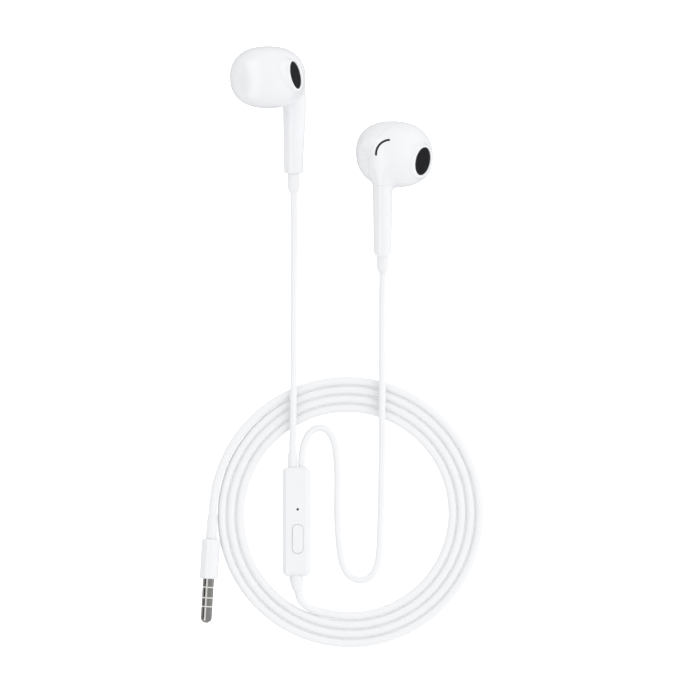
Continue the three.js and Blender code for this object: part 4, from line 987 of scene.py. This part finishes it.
def bent_axis(along):
    """The middle and the direction of the trunk's relief, at a length along it from the remote."""
    radius = (TRUNK_RELIEF_LENGTH - TRUNK_RELIEF_STRAIGHT) / TRUNK_RELIEF_BEND
    angle = max(along - TRUNK_RELIEF_STRAIGHT, 0) / radius
    y = -REMOTE_LENGTH / 2 - min(along, TRUNK_RELIEF_STRAIGHT) - radius * math.sin(angle)
    place = Vector((radius * (1 - math.cos(angle)), y, REMOTE_AXIS))
    return place, Vector((math.sin(angle), -math.cos(angle), 0))


def remote_block():
    """The remote's outside as one solid."""
    edge = bevelled_edge()
    rings = [remote_ring(inset, down) for inset, down in reversed(edge)]
    rings += [remote_ring(inset, REMOTE_HEIGHT - down) for inset, down in edge]
    return loft("remote_block", rings)


def relief_root():
    """What fills the wedge between the trunk's relief and the remote's rounded end."""
    end = REMOTE_LENGTH / 2
    radius = TRUNK_RELIEF_RADIUS - TRUNK_ROOT_FIT
    root = along_y(radius, 0, -end - TRUNK_ROOT_OUT, -end + REMOTE_EDGE)
    cut(root, moved(remote_block(), Matrix.Translation((0, -TRUNK_ROOT_GAP, 0))))
    return root


def trunk_relief():
    up = Vector((0, 0, 1))

    def ring(along, radius):
        place, out = bent_axis(along)
        return [place + x * up.cross(out) + y * up for x, y in oval(radius, radius)]

    inside = -REMOTE_WALL - FLANGE_GAP
    flange = REMOTE_AXIS - REMOTE_WALL - TRUNK_FLANGE_FIT
    length = TRUNK_RELIEF_LENGTH
    rings = [ring(inside - FLANGE_THICKNESS, flange), ring(inside, flange)]
    rings += [ring(inside, TRUNK_NECK), ring(TRUNK_RELIEF_START[0][0], TRUNK_NECK)]
    rings += [ring(along, TRUNK_RELIEF_RADIUS - inset) for along, inset in TRUNK_RELIEF_START]
    for step in range(1, TRUNK_RELIEF_STEPS):
        share = step / TRUNK_RELIEF_STEPS
        narrow = (TRUNK_RELIEF_RADIUS - TRUNK_RELIEF_TIP) * share**TRUNK_RELIEF_CURVE
        rings.append(ring(length * share, TRUNK_RELIEF_RADIUS - narrow))
    rings += [ring(length - back, TRUNK_RELIEF_TIP - inset) for back, inset in TRUNK_RELIEF_END]
    rings += [ring(length, TRUNK_BORE), ring(length - ENTRY_BORE_DEPTH, TRUNK_BORE)]
    relief = face_out(loft("trunk_entry", rings))
    join(relief, relief_root())
    return relief


# ---- Plug, in millimetres in its own frame ----

BARREL_RADIUS = 2.9
BARREL_LENGTH = 12.7
BARREL_NECK = 1.25  # radius of the hole that the sleeve's neck goes through
BARREL_HOLLOW = 2.1
BARREL_FACE_WALL = 0.9
BARREL_BACK_WALL = 1.4
BARREL_EDGE = 0.5
BARREL_SHOULDER = 1.0
PLUG_SLEEVE_LENGTH = 7.6
PLUG_SLEEVE_RADIUS = 1.75
PLUG_SLEEVE_TIP = 1.62
PLUG_SLEEVE_EDGE = 0.1
PLUG_SLEEVE_TIP_EDGE = 0.2
PLUG_NECK = 1.2
PLUG_FLANGE = 1.7
PLUG_FLANGE_TOP = BARREL_LENGTH - 1.55
PLUG_FLANGE_THICKNESS = 1.0
PLUG_BORE = 1.38
PLUG_BORE_DEPTH = 1.5
JACK_RADIUS = 1.75
JACK_BAND = 0.4
JACK_BAND_SUNK = 0.03
JACK_POLES = (2.5, 2.95, 2.4)  # lengths of the sleeve, the lower ring and the upper ring
JACK_TIP = 4.95
JACK_WALL = 0.5
JACK_ROD = 0.5
JACK_EDGE = 0.06
JACK_FIT = 0.05
JACK_BAND_FIT = 0.02
JACK_SLEEVE_TOP = 3.0
JACK_ROD_TOP = 4.2
JACK_INSULATION_TOP = 3.6
# The tip's outline from its point up: radius, height and rounding
JACK_TIP_SHAPE = ((0, 0, 0), (0.55, 0, 0.3), (1.5, 0.7, 0.5), (JACK_RADIUS, 1.25, 0.4))


def plug_barrel():
    inner = JACK_RADIUS + JACK_FIT
    back = BARREL_LENGTH - BARREL_BACK_WALL
    return turned("barrel_body", [
        (inner, 0, 0),
        (BARREL_RADIUS, 0, BARREL_EDGE),
        (BARREL_RADIUS, BARREL_LENGTH, BARREL_SHOULDER),
        (BARREL_NECK, BARREL_LENGTH, 0),
        (BARREL_NECK, back, 0),
        (BARREL_HOLLOW, back, 0),
        (BARREL_HOLLOW, BARREL_FACE_WALL, 0),
        (inner, BARREL_FACE_WALL, 0),
    ])


def plug_sleeve():
    flange_low = PLUG_FLANGE_TOP - PLUG_FLANGE_THICKNESS
    root = BARREL_LENGTH + ENTRY_GAP
    tip = BARREL_LENGTH + PLUG_SLEEVE_LENGTH
    return turned("sleeve_body", [
        (0, flange_low, 0),
        (PLUG_FLANGE, flange_low, 0),
        (PLUG_FLANGE, PLUG_FLANGE_TOP, 0),
        (PLUG_NECK, PLUG_FLANGE_TOP, 0),
        (PLUG_NECK, root, 0),
        (PLUG_SLEEVE_RADIUS, root, PLUG_SLEEVE_EDGE),
        (PLUG_SLEEVE_TIP, tip, PLUG_SLEEVE_TIP_EDGE),
        (PLUG_BORE, tip, BORE_EDGE),
        (PLUG_BORE, tip - PLUG_BORE_DEPTH, 0),
        (0, tip - PLUG_BORE_DEPTH, 0),
    ])


def jack_pieces():
    """The sleeve, two rings and the tip, and the insulation that shows as bands between them."""
    bore = JACK_RADIUS - JACK_WALL
    pieces, bands = {}, []
    high, top = 0.0, JACK_SLEEVE_TOP
    for name, length in zip(("jack_sleeve", "jack_lower_ring", "jack_upper_ring"), JACK_POLES):
        low = high - length
        pieces[name] = turned(name + "_body", [
            (bore, low, 0),
            (JACK_RADIUS, low, JACK_EDGE),
            (JACK_RADIUS, top, JACK_EDGE),
            (bore, top, 0),
        ])
        bands.append(low)
        high = top = low - JACK_BAND
    pieces["jack_tip"] = turned("jack_tip_body", [
        *((radius, high - JACK_TIP + up, edge) for radius, up, edge in JACK_TIP_SHAPE),
        (JACK_RADIUS, high, JACK_EDGE),
        (JACK_ROD, high, 0),
        (JACK_ROD, JACK_ROD_TOP, 0),
        (0, JACK_ROD_TOP, 0),
    ])
    inner, under, outer = JACK_ROD + JACK_FIT, bore - JACK_FIT, JACK_RADIUS - JACK_BAND_SUNK
    corners = [(inner, JACK_INSULATION_TOP, 0), (inner, high + JACK_BAND_FIT, 0)]
    for band in reversed(bands):
        low, top = band - JACK_BAND + JACK_BAND_FIT, band - JACK_BAND_FIT
        corners += [(under, low, 0), (outer, low, 0), (outer, top, 0), (under, top, 0)]
    corners.append((under, JACK_INSULATION_TOP, 0))
    pieces["jack_insulation"] = turned("jack_insulation_body", corners)
    return pieces


# ---- Finishes ----


def effect(name, values, kind, make):
    """A shader node group, in which make turns the given place and values into the result."""
    tree = bpy.data.node_groups.new(name, "ShaderNodeTree")
    for socket, value in {"Place": None, **values}.items():
        form = {float: "Float", tuple: "Color"}.get(type(value), "Vector")
        made = tree.interface.new_socket(socket, in_out="INPUT", socket_type="NodeSocket" + form)
        if value is not None:
            made.default_value = value
    tree.interface.new_socket("Result", in_out="OUTPUT", socket_type="NodeSocket" + kind)
    given = tree.nodes.new("NodeGroupInput").outputs
    tree_node(tree, "NodeGroupOutput", {0: make(tree, given)})
    return tree


COARSE, FINE = 3.0, 4.0  # how many octaves a noise has
GRAIN_ROUGHNESS = 0.6
NOISE_LOW, NOISE_HIGH = 0.3, 0.7  # where nearly all of a noise's values lie
TRACK_WIDTH = 0.06
TRACK_GREEN = (0.03, 0.16, 0.06, 1.0)
GREY = (0.8, 0.8, 0.8, 1.0)


def noise(tree, given, detail, roughness=0.5):
    return shade(tree, "TexNoise", {
        "Vector": given["Place"], "Scale": given["Scale"], "Detail": detail, "Roughness": roughness,
    })


def make_uneven(tree, given):
    """A value that wanders between two others, as gloss does over a handled or moulded surface."""
    return shade(tree, "MapRange", {
        "Value": noise(tree, given, COARSE), "From Min": NOISE_LOW, "From Max": NOISE_HIGH,
        "To Min": given["Low"], "To Max": given["High"],
    })


def mixed_colours(tree, share, first, second):
    inputs = {0: share, 6: first, 7: second}
    return tree_node(tree, "ShaderNodeMix", inputs, data_type="RGBA").outputs[2]


def make_two_tones(tree, given):
    """A colour that drifts between two near tones."""
    return mixed_colours(tree, noise(tree, given, FINE), given["First"], given["Second"])


def make_grain(tree, given):
    """The fine texture that a mould leaves: soft grain with small pits in it."""
    cells = shade(tree, "TexVoronoi", {"Vector": given["Place"], "Scale": given["Scale"]})
    pits = math_node(tree, "MULTIPLY", cells, given["Pits"])
    return math_node(tree, "ADD", noise(tree, given, FINE, GRAIN_ROUGHNESS), pits)


def make_turning(tree, given):
    """Fine rings round the y axis of a place, as a lathe leaves them."""
    along = tree_node(tree, "ShaderNodeSeparateXYZ", {0: given["Place"]}).outputs["Y"]
    rings = math_node(tree, "MULTIPLY", along, given["Scale"])
    inputs = {"W": rings, "Scale": 1.0, "Detail": COARSE}
    return shade(tree, "TexNoise", inputs, noise_dimensions="1D")


def make_weave(tree, given):
    """Threads over and under each other, in a place's x and y."""
    place = tree_node(tree, "ShaderNodeSeparateXYZ", {0: given["Place"]}).outputs
    phases = [math_node(tree, "MULTIPLY", place[axis], given["Threads"]) for axis in ("X", "Y")]
    waves = [math_node(tree, "SINE", phase) for phase in phases]
    return math_node(tree, "ABSOLUTE", math_node(tree, "MULTIPLY", *waves))


def make_tracks(tree, given):
    """Copper tracks on a board, as narrow bands with steps: 1 on a track."""
    return tree_node(tree, "ShaderNodeTexBrick", {
        "Vector": given["Place"], "Scale": given["Scale"], "Mortar Size": TRACK_WIDTH,
    }).outputs["Fac"]


uneven = effect("uneven", {"Scale": 400.0, "Low": 0.2, "High": 0.3}, "Float", make_uneven)
two_tones = effect(
    "two_tones", {"Scale": 150.0, "First": GREY, "Second": GREY}, "Color", make_two_tones
)
grain = effect("grain", {"Scale": 4000.0, "Pits": 0.3}, "Float", make_grain)
turning = effect("turning", {"Scale": 9000.0}, "Float", make_turning)
weave = effect("weave", {"Threads": 3000.0}, "Float", make_weave)
tracks = effect("tracks", {"Scale": 900.0}, "Float", make_tracks)


def make_finish(name, tones, gloss, relief=None, turn=None, tracked=False, **constants):
    """A material whose colour, gloss and fine relief come from the effects above. Its tones are
    two colours and the scale of their drift, its gloss is two roughnesses and a scale, and its
    relief is an effect with its strength, its depth in millimetres and its values."""
    material = bpy.data.materials.new(name)
    material.use_nodes = True
    tree = material.node_tree
    shader = tree.nodes["Principled BSDF"]
    for socket, value in constants.items():
        shader.inputs[socket.replace("_", " ")].default_value = value
    place = tree.nodes.new("ShaderNodeTexCoord").outputs["Object"]
    if turn:
        place = shade(tree, "Mapping", {"Vector": place, "Rotation": turn})

    def result(group, **values):
        return shade(tree, "Group", {"Place": place, **values}, node_tree=group)

    first, second, scale = tones
    colour = result(two_tones, First=(*first, 1), Second=(*second, 1), Scale=scale)
    if tracked:
        colour = mixed_colours(tree, result(tracks), colour, TRACK_GREEN)
    tree.links.new(colour, shader.inputs["Base Color"])
    low, high, scale = gloss
    tree.links.new(result(uneven, Low=low, High=high, Scale=scale), shader.inputs["Roughness"])
    if relief:
        group, strength, depth, values = relief
        bump = {"Height": result(group, **values), "Strength": strength, "Distance": depth * MM}
        tree.links.new(shade(tree, "Bump", bump), shader.inputs["Normal"])
    return material


FINISHES = {
    "gloss_white_shell": dict(
        tones=((0.875, 0.88, 0.89), (0.86, 0.868, 0.882), 150.0), gloss=(0.2, 0.27, 400.0),
        relief=(grain, 0.06, 0.01, {"Scale": 5000.0}),
        Coat_Weight=0.25, Coat_Roughness=0.06, IOR=1.48,
    ),
    "soft_white_relief": dict(
        tones=((0.87, 0.873, 0.878), (0.85, 0.857, 0.866), 150.0), gloss=(0.42, 0.52, 400.0),
        relief=(grain, 0.15, 0.02, {"Scale": 3500.0, "Pits": 0.5}), Sheen_Weight=0.1,
    ),
    "white_cord_jacket": dict(
        tones=((0.88, 0.882, 0.887), (0.86, 0.865, 0.873), 150.0), gloss=(0.38, 0.5, 400.0),
        relief=(grain, 0.12, 0.02, {"Scale": 3000.0, "Pits": 0.2}), Sheen_Weight=0.1,
    ),
    "black_mesh": dict(
        tones=((0.012, 0.012, 0.014), (0.025, 0.025, 0.028), 900.0), gloss=(0.4, 0.6, 2000.0),
        relief=(grain, 0.3, 0.02, {"Scale": 9000.0}),
    ),
    "dark_plastic": dict(
        tones=((0.04, 0.041, 0.044), (0.055, 0.056, 0.06), 150.0), gloss=(0.4, 0.55, 400.0),
        relief=(grain, 0.3, 0.03, {}),
    ),
    "steel_can": dict(
        tones=((0.55, 0.55, 0.54), (0.62, 0.62, 0.61), 600.0), gloss=(0.22, 0.38, 900.0),
        relief=(grain, 0.1, 0.01, {"Scale": 7000.0}), Metallic=1.0,
    ),
    "diaphragm_film": dict(
        tones=((0.45, 0.5, 0.52), (0.52, 0.57, 0.58), 300.0), gloss=(0.2, 0.35, 400.0),
        relief=(grain, 0.1, 0.01, {}), Coat_Weight=0.4,
    ),
    "board_laminate": dict(
        tones=((0.012, 0.09, 0.035), (0.016, 0.11, 0.045), 500.0), gloss=(0.3, 0.45, 400.0),
        tracked=True, Coat_Weight=0.3,
    ),
    "enamelled_copper": dict(
        tones=((0.6, 0.24, 0.1), (0.68, 0.3, 0.14), 700.0), gloss=(0.25, 0.35, 400.0),
        Metallic=1.0, Coat_Weight=0.5,
    ),
    "insulator": dict(
        tones=((0.78, 0.77, 0.74), (0.72, 0.71, 0.68), 500.0), gloss=(0.35, 0.5, 400.0),
        relief=(grain, 0.1, 0.01, {}),
    ),
    "nickel_plating": dict(
        tones=((0.42, 0.41, 0.4), (0.5, 0.49, 0.48), 900.0), gloss=(0.14, 0.26, 1500.0),
        relief=(turning, 0.25, 0.01, {}), turn=(0, 0, PLUG_LEAN), Metallic=1.0,
    ),
    # the fine black cloth in the vent slot and under the microphone's hole
    "black_screen": dict(
        tones=((0.012, 0.012, 0.013), (0.02, 0.02, 0.022), 900.0), gloss=(0.5, 0.7, 2000.0),
        relief=(weave, 0.8, 0.05, {"Threads": 15000.0}),
    ),
}
FINISHES = {name: make_finish(name, **values) for name, values in FINISHES.items()}


# ---- Light and floor ----

FLOOR_SIZE = 6.0
FLOOR_DROP = 0.02 * MM
FLOOR_TONE = 0.95
FLOOR_LIFT = 0.12  # what the paper sends back of itself, as bright paper lit from all round does
FLOOR_GLOW = 0.78  # what the camera sees on top of that: the paper is white but for narrow gaps
FLOOR_MIRRORED = 0.5  # how bright the floor is in a reflection
SKY_LEFT, SKY_RIGHT = 0.94, 0.97
SKY_TONE = (0.985, 0.99, 1, 1)
KEY_STRENGTH = 0.55
KEY_SPREAD = math.radians(50)  # how wide the soft key light is
KEY_FROM = Vector((1.0, 0.3, 1.0))
MIRRORED_SKY = (  # from the left horizon to the right one: a place along x, and how bright it is
    (0.0, 0.06),
    (0.1, 0.1),
    (0.18, 1.7),
    (0.34, 1.7),
    (0.4, 0.45),
    (1.0, 0.5),
)


def grey(tone):
    return (tone, tone, tone, 1)


def mix_shaders(tree, factor, one, other):
    return shade(tree, "MixShader", {0: factor, 1: one, 2: other})


def make_floor():
    half = FLOOR_SIZE / 2
    corners = [(-half, -half), (half, -half), (half, half), (-half, half)]
    floor = mesh_object("floor", [(x, y, -FLOOR_DROP) for x, y in corners], [(0, 1, 2, 3)])
    material = bpy.data.materials.new("pale_floor")
    material.use_nodes = True
    tree = material.node_tree
    tree.nodes.clear()
    path = tree.nodes.new("ShaderNodeLightPath").outputs

    def diffuse(tone):
        return shade(tree, "BsdfDiffuse", {"Color": grey(tone)})

    def glowing(strength):
        glow = shade(tree, "Emission", {"Color": grey(1), "Strength": strength})
        return shade(tree, "AddShader", {0: paper, 1: glow})

    paper = diffuse(FLOOR_TONE)
    surface = mix_shaders(tree, path["Is Glossy Ray"], glowing(FLOOR_LIFT), diffuse(FLOOR_MIRRORED))
    surface = mix_shaders(tree, path["Is Camera Ray"], surface, glowing(FLOOR_GLOW))
    tree_node(tree, "ShaderNodeOutputMaterial", {"Surface": surface})
    floor.data.materials.append(material)


def make_sky():
    """Soft light all round, a little more from the right, and a window's shape in reflections."""
    world = bpy.data.worlds.new("studio")
    bpy.context.scene.world = world
    world.use_nodes = True
    tree = world.node_tree
    tree.nodes.clear()
    path = tree.nodes.new("ShaderNodeLightPath").outputs
    direction = tree.nodes.new("ShaderNodeTexCoord").outputs["Generated"]
    across = tree_node(tree, "ShaderNodeSeparateXYZ", {0: direction}).outputs["X"]

    def along(low, high):
        return shade(tree, "MapRange", {
            "Value": across, "From Min": -1.0, "From Max": 1.0, "To Min": low, "To Max": high,
        })

    def background(colour, strength):
        return shade(tree, "Background", {"Color": colour, "Strength": strength})

    mirrored = tree_node(tree, "ShaderNodeValToRGB", {0: along(0.0, 1.0)})
    ramp = mirrored.color_ramp.elements
    while len(ramp) < len(MIRRORED_SKY):
        ramp.new(0.5)
    for element, (place, tone) in zip(ramp, MIRRORED_SKY):
        element.position = place
        element.color = grey(tone)
    soft = background(SKY_TONE, along(SKY_LEFT, SKY_RIGHT))
    seen = background(mirrored.outputs[0], 1.0)
    surface = mix_shaders(tree, path["Is Glossy Ray"], soft, seen)
    surface = mix_shaders(tree, path["Is Camera Ray"], surface, background(grey(1), 1.0))
    tree_node(tree, "ShaderNodeOutputWorld", {"Surface": surface})


def make_key():
    """A wide soft light from the upper right, which isn't mirrored."""
    sun = bpy.data.lights.new("key", "SUN")
    sun.energy = KEY_STRENGTH
    sun.angle = KEY_SPREAD
    key = linked("key", sun)
    key.rotation_euler = KEY_FROM.to_track_quat("Z", "Y").to_euler()
    key.visible_glossy = False


bpy.context.scene.view_settings.view_transform = "Standard"
make_key()
make_floor()
make_sky()


# ---- Cords ----

EAR_CORD = 2.2 * MM
TRUNK = 2.7 * MM
CORD_INSIDE = 1.2 * MM  # how far a cord runs on into what holds it
CORD_SIDES = 10  # bevel resolution
CORD_STEPS = 10  # between two points of a cord
SURFACE_GAP = 0.05 * MM  # under an ear cord
COIL_GAP = 0.65 * MM

# Heights of an ear cord's middle: on the surface, over the coil and between them, and what the
# left relief's tip lies higher. Each rule below gives a share of the way from one to the other.
on_surface = EAR_CORD / 2 + SURFACE_GAP
over_coil = TRUNK + EAR_CORD / 2 + COIL_GAP
LEFT_TIP_RISE = 3.0 * MM


def settling(share):
    return on_surface + share * LEFT_TIP_RISE


def rising(share):
    return on_surface + share * (over_coil - on_surface)


def entering(share):
    return on_surface + share * (remote_axis - on_surface)


def falling(share):
    return remote_axis + share * (TRUNK / 2 - remote_axis)


def route(*points):
    """Points of a cord, with x and y in millimetres."""
    return [Vector((x * MM, y * MM, z)) for x, y, z in points]


LEFT_CORD_ROUTE = route(
    (-11.8, -18.0, settling(0.58)), (-11.75, -23.0, settling(0.23)),
    (-11.75, -28.0, settling(0.04)), (-11.8, -34.0, on_surface), (-11.85, -45.0, on_surface),
    (-11.85, -54.0, rising(0.02)), (-11.85, -60.0, rising(0.23)), (-11.85, -65.5, rising(0.69)),
    (-11.9, -71.0, rising(0.98)), (-12.0, -78.0, rising(1)), (-12.1, -84.5, rising(0.96)),
    (-12.2, -88.0, rising(0.74)),
)
RIGHT_CORD_ROUTE = route(
    (16.3, -43.0, rising(0.02)), (16.25, -48.0, on_surface), (16.2, -53.0, rising(0.02)),
    (16.2, -58.5, rising(0.23)), (16.2, -64.0, rising(0.69)), (16.2, -69.5, rising(0.98)),
    (16.2, -76.0, rising(1)), (16.2, -82.5, rising(0.96)), (16.15, -88.5, rising(0.53)),
    (16.1, -94.5, rising(0.1)), (16.0, -102.0, on_surface), (15.85, -110.0, on_surface),
    (15.6, -118.0, on_surface), (15.3, -124.8, on_surface), (14.5, -129.2, on_surface),
    (12.7, -132.4, on_surface), (9.8, -133.7, on_surface), (6.5, -132.8, on_surface),
    (4.2, -130.0, on_surface), (3.1, -126.3, on_surface), (2.5, -121.5, on_surface),
    (2.05, -115.0, on_surface), (2.0, -108.0, on_surface), (2.05, -101.0, on_surface),
    (1.7, -94.5, on_surface), (0.7, -89.2, on_surface), (-1.1, -86.3, on_surface),
    (-3.6, -85.3, on_surface), (-6.2, -86.4, entering(0.03)), (-8.0, -88.9, entering(0.26)),
    (-8.9, -91.8, entering(0.71)),
)
TRUNK_LEAD_ROUTE = route(
    (-8.1, -141.5, falling(0.32)), (-5.9, -142.9, falling(0.71)),
)

COIL_CENTRE = Vector((5.5 * MM, -112.8 * MM))
COIL_START_RADIUS = 32.3 * MM
COIL_PITCH = TRUNK + 0.17 * MM
COIL_START_TURN = -0.25  # from the x axis
COIL_LOOP_STEPS = 24
COIL_FIRST_STEP = -1
COIL_LAST_STEP = 89.75
COIL_CLIMB_STEPS = 6


def cord_curve(name, points, diameter):
    """A round cord through points, with each one's handles along the line of its neighbours."""
    curve = bpy.data.curves.new(name, "CURVE")
    curve.dimensions = "3D"
    curve.bevel_depth = diameter / 2
    curve.bevel_resolution = CORD_SIDES
    curve.resolution_u = CORD_STEPS
    curve.use_fill_caps = True
    spline = curve.splines.new("BEZIER")
    spline.bezier_points.add(len(points) - 1)
    last = len(points) - 1
    for i, (knot, point) in enumerate(zip(spline.bezier_points, points)):
        before, after = points[max(i - 1, 0)], points[min(i + 1, last)]
        along = (after - before).normalized()
        knot.handle_left_type = knot.handle_right_type = "FREE"
        knot.co = point
        knot.handle_left = point - along * (point - before).length / 3
        knot.handle_right = point + along * (after - point).length / 3
    return linked(name, curve)


def cord_length(cord):
    points = cord.data.splines[0].bezier_points
    length = 0.0
    for one, other in zip(points, points[1:]):
        line = interpolate_bezier(one.co, one.handle_right, other.handle_left, other.co, CORD_STEPS)
        length += sum((b - a).length for a, b in zip(line, line[1:]))
    return length


def along_axis(place, heights):
    """Points on a part's own y axis, in the scene."""
    return [place @ Vector((0, height, 0)) for height in heights]


def ear_cord(name, side, points, entry, entry_end):
    out = EAR_CORD / MM
    inside = CORD_INSIDE / MM
    start = along_axis(EARBUDS[side], (RELIEF_TIP + inside, RELIEF_TIP, RELIEF_TIP - out))
    heights = (entry_end + out, entry_end, entry_end - inside)
    end = [REMOTE @ Vector((entry, height, REMOTE_AXIS)) for height in heights]
    return cord_curve(name, start + points + end, EAR_CORD)


def spiral_point(step):
    turns = step / COIL_LOOP_STEPS
    angle = 2 * math.pi * (COIL_START_TURN + turns)
    radius = COIL_START_RADIUS + COIL_PITCH * turns
    climb = min(max((step - COIL_LAST_STEP) / COIL_CLIMB_STEPS + 1, 0), 1)
    lift = (BARREL_RADIUS * MM - TRUNK / 2) * climb * climb * (3 - 2 * climb)
    place = COIL_CENTRE + radius * Vector((math.cos(angle), math.sin(angle)))
    return Vector((*place, TRUNK / 2 + lift))


def trunk_points():
    """The trunk's middle: out of its relief, along its lead, round the coil and into the plug."""
    relief_end, out = bent_axis(TRUNK_RELIEF_LENGTH)
    points = [REMOTE @ bent_axis(TRUNK_RELIEF_LENGTH - CORD_INSIDE / MM)[0], REMOTE @ relief_end]
    points.append(points[-1] + out * (SEAT_GAP + TRUNK))
    points += TRUNK_LEAD_ROUTE
    points += [spiral_point(step) for step in range(COIL_FIRST_STEP, math.ceil(COIL_LAST_STEP))]
    points.append(spiral_point(COIL_LAST_STEP))
    sleeve_end = BARREL_LENGTH + PLUG_SLEEVE_LENGTH
    return points + along_axis(PLUG, (sleeve_end, sleeve_end - CORD_INSIDE / MM))


# ---- The whole set ----


def finished(piece, name, place, slot, body=BODY, finish=None):
    """Lays a shaped piece in its place, gives it its finish and body, and hides the CAD node of the
    same name.
    """
    piece.name = piece.data.name = name + "_visual"
    lay(piece, place)
    return hand_over(piece, FINISHES[finish or slot], slot, name, body=body)


def build_earbuds():
    front, rear = earbud_shells()
    shapes = (
        (front, "front_shell", "gloss_white_shell", None),
        (rear, "rear_shell", "gloss_white_shell", None),
        (woven_grille("grille", FINISHES["black_mesh"]), "speaker_grille", "black_mesh", None),
        (vent_insert(), "vent_mesh", "black_mesh", "black_screen"),
        (strain_relief("relief"), "strain_relief", "soft_white_relief", None),
    )
    for side, place in EARBUDS.items():
        for shape, part, slot, finish in shapes:
            name = f"{side}_{part}"
            finished(copied(shape, name), name, place, slot, finish=finish)
    for shape, *_ in shapes:
        bpy.data.objects.remove(shape)


def build_remote():
    front, rear = remote_shells()
    pieces = [
        finished(front, "remote_front_shell", REMOTE, "gloss_white_shell"),
        finished(rear, "remote_rear_shell", REMOTE, "gloss_white_shell"),
        finished(remote_button(), "remote_button", REMOTE, "gloss_white_shell", body=BUTTON_BODY),
        finished(left_sleeve(), "remote_left_sleeve", REMOTE, "soft_white_relief"),
        finished(right_grommet(), "remote_right_grommet", REMOTE, "soft_white_relief"),
        finished(trunk_relief(), "remote_trunk_relief", REMOTE, "soft_white_relief"),
    ]
    inside = ("switch_body", "switch_plunger", "circuit_board", "microphone", "microphone_mesh")
    return pieces + [frame["nodes"]["remote_" + name] for name in inside]


def build_plug():
    pieces = [
        finished(plug_barrel(), "plug_barrel", PLUG, "gloss_white_shell"),
        finished(plug_sleeve(), "plug_sleeve", PLUG, "soft_white_relief"),
    ]
    for name, piece in jack_pieces().items():
        slot = "insulator" if name == "jack_insulation" else "nickel_plating"
        pieces.append(finished(piece, name, PLUG, slot))
    return pieces + [frame["nodes"]["plug_solder_block"]]


def build_cords(remote_pieces, plug_pieces):
    end = REMOTE_LENGTH / 2
    tip = end + ENTRY_SLEEVE_LENGTH
    left = ear_cord("left_cord_visual", "left", LEFT_CORD_ROUTE, LEFT_ENTRY, tip)
    right = ear_cord("right_cord_visual", "right", RIGHT_CORD_ROUTE, RIGHT_ENTRY, end)
    trunk = cord_curve("trunk_coil_visual", trunk_points(), TRUNK)
    grommet = [piece for piece in remote_pieces if "right_grommet" in piece.name]
    others = [piece for piece in remote_pieces if piece not in grommet]
    for cord, diameter, far_end, lay_of_it, with_pieces in (
        (left, EAR_CORD, "fitting", "loose", others),
        (right, EAR_CORD, "fitting", "loose", grommet),
        (trunk, TRUNK, "plug", "coiled", plug_pieces),
    ):
        slot = "white_cord_jacket"
        hand_over(cord, FINISHES[slot], slot, cord.name.removesuffix("_visual"))
        cord_length(cord)


def finish_inner_nodes():
    """Gives every CAD node its finish, also those that show only when the set is opened."""
    for part in frame["record"]["subparts"]:
        screen = part["node"].endswith("mesh")
        finish = "black_screen" if screen else part["material_slot"]
        frame["nodes"][part["node"]].material_slots[0].material = FINISHES[finish]


finish_inner_nodes()
build_earbuds()
build_cords(build_remote(), build_plug())
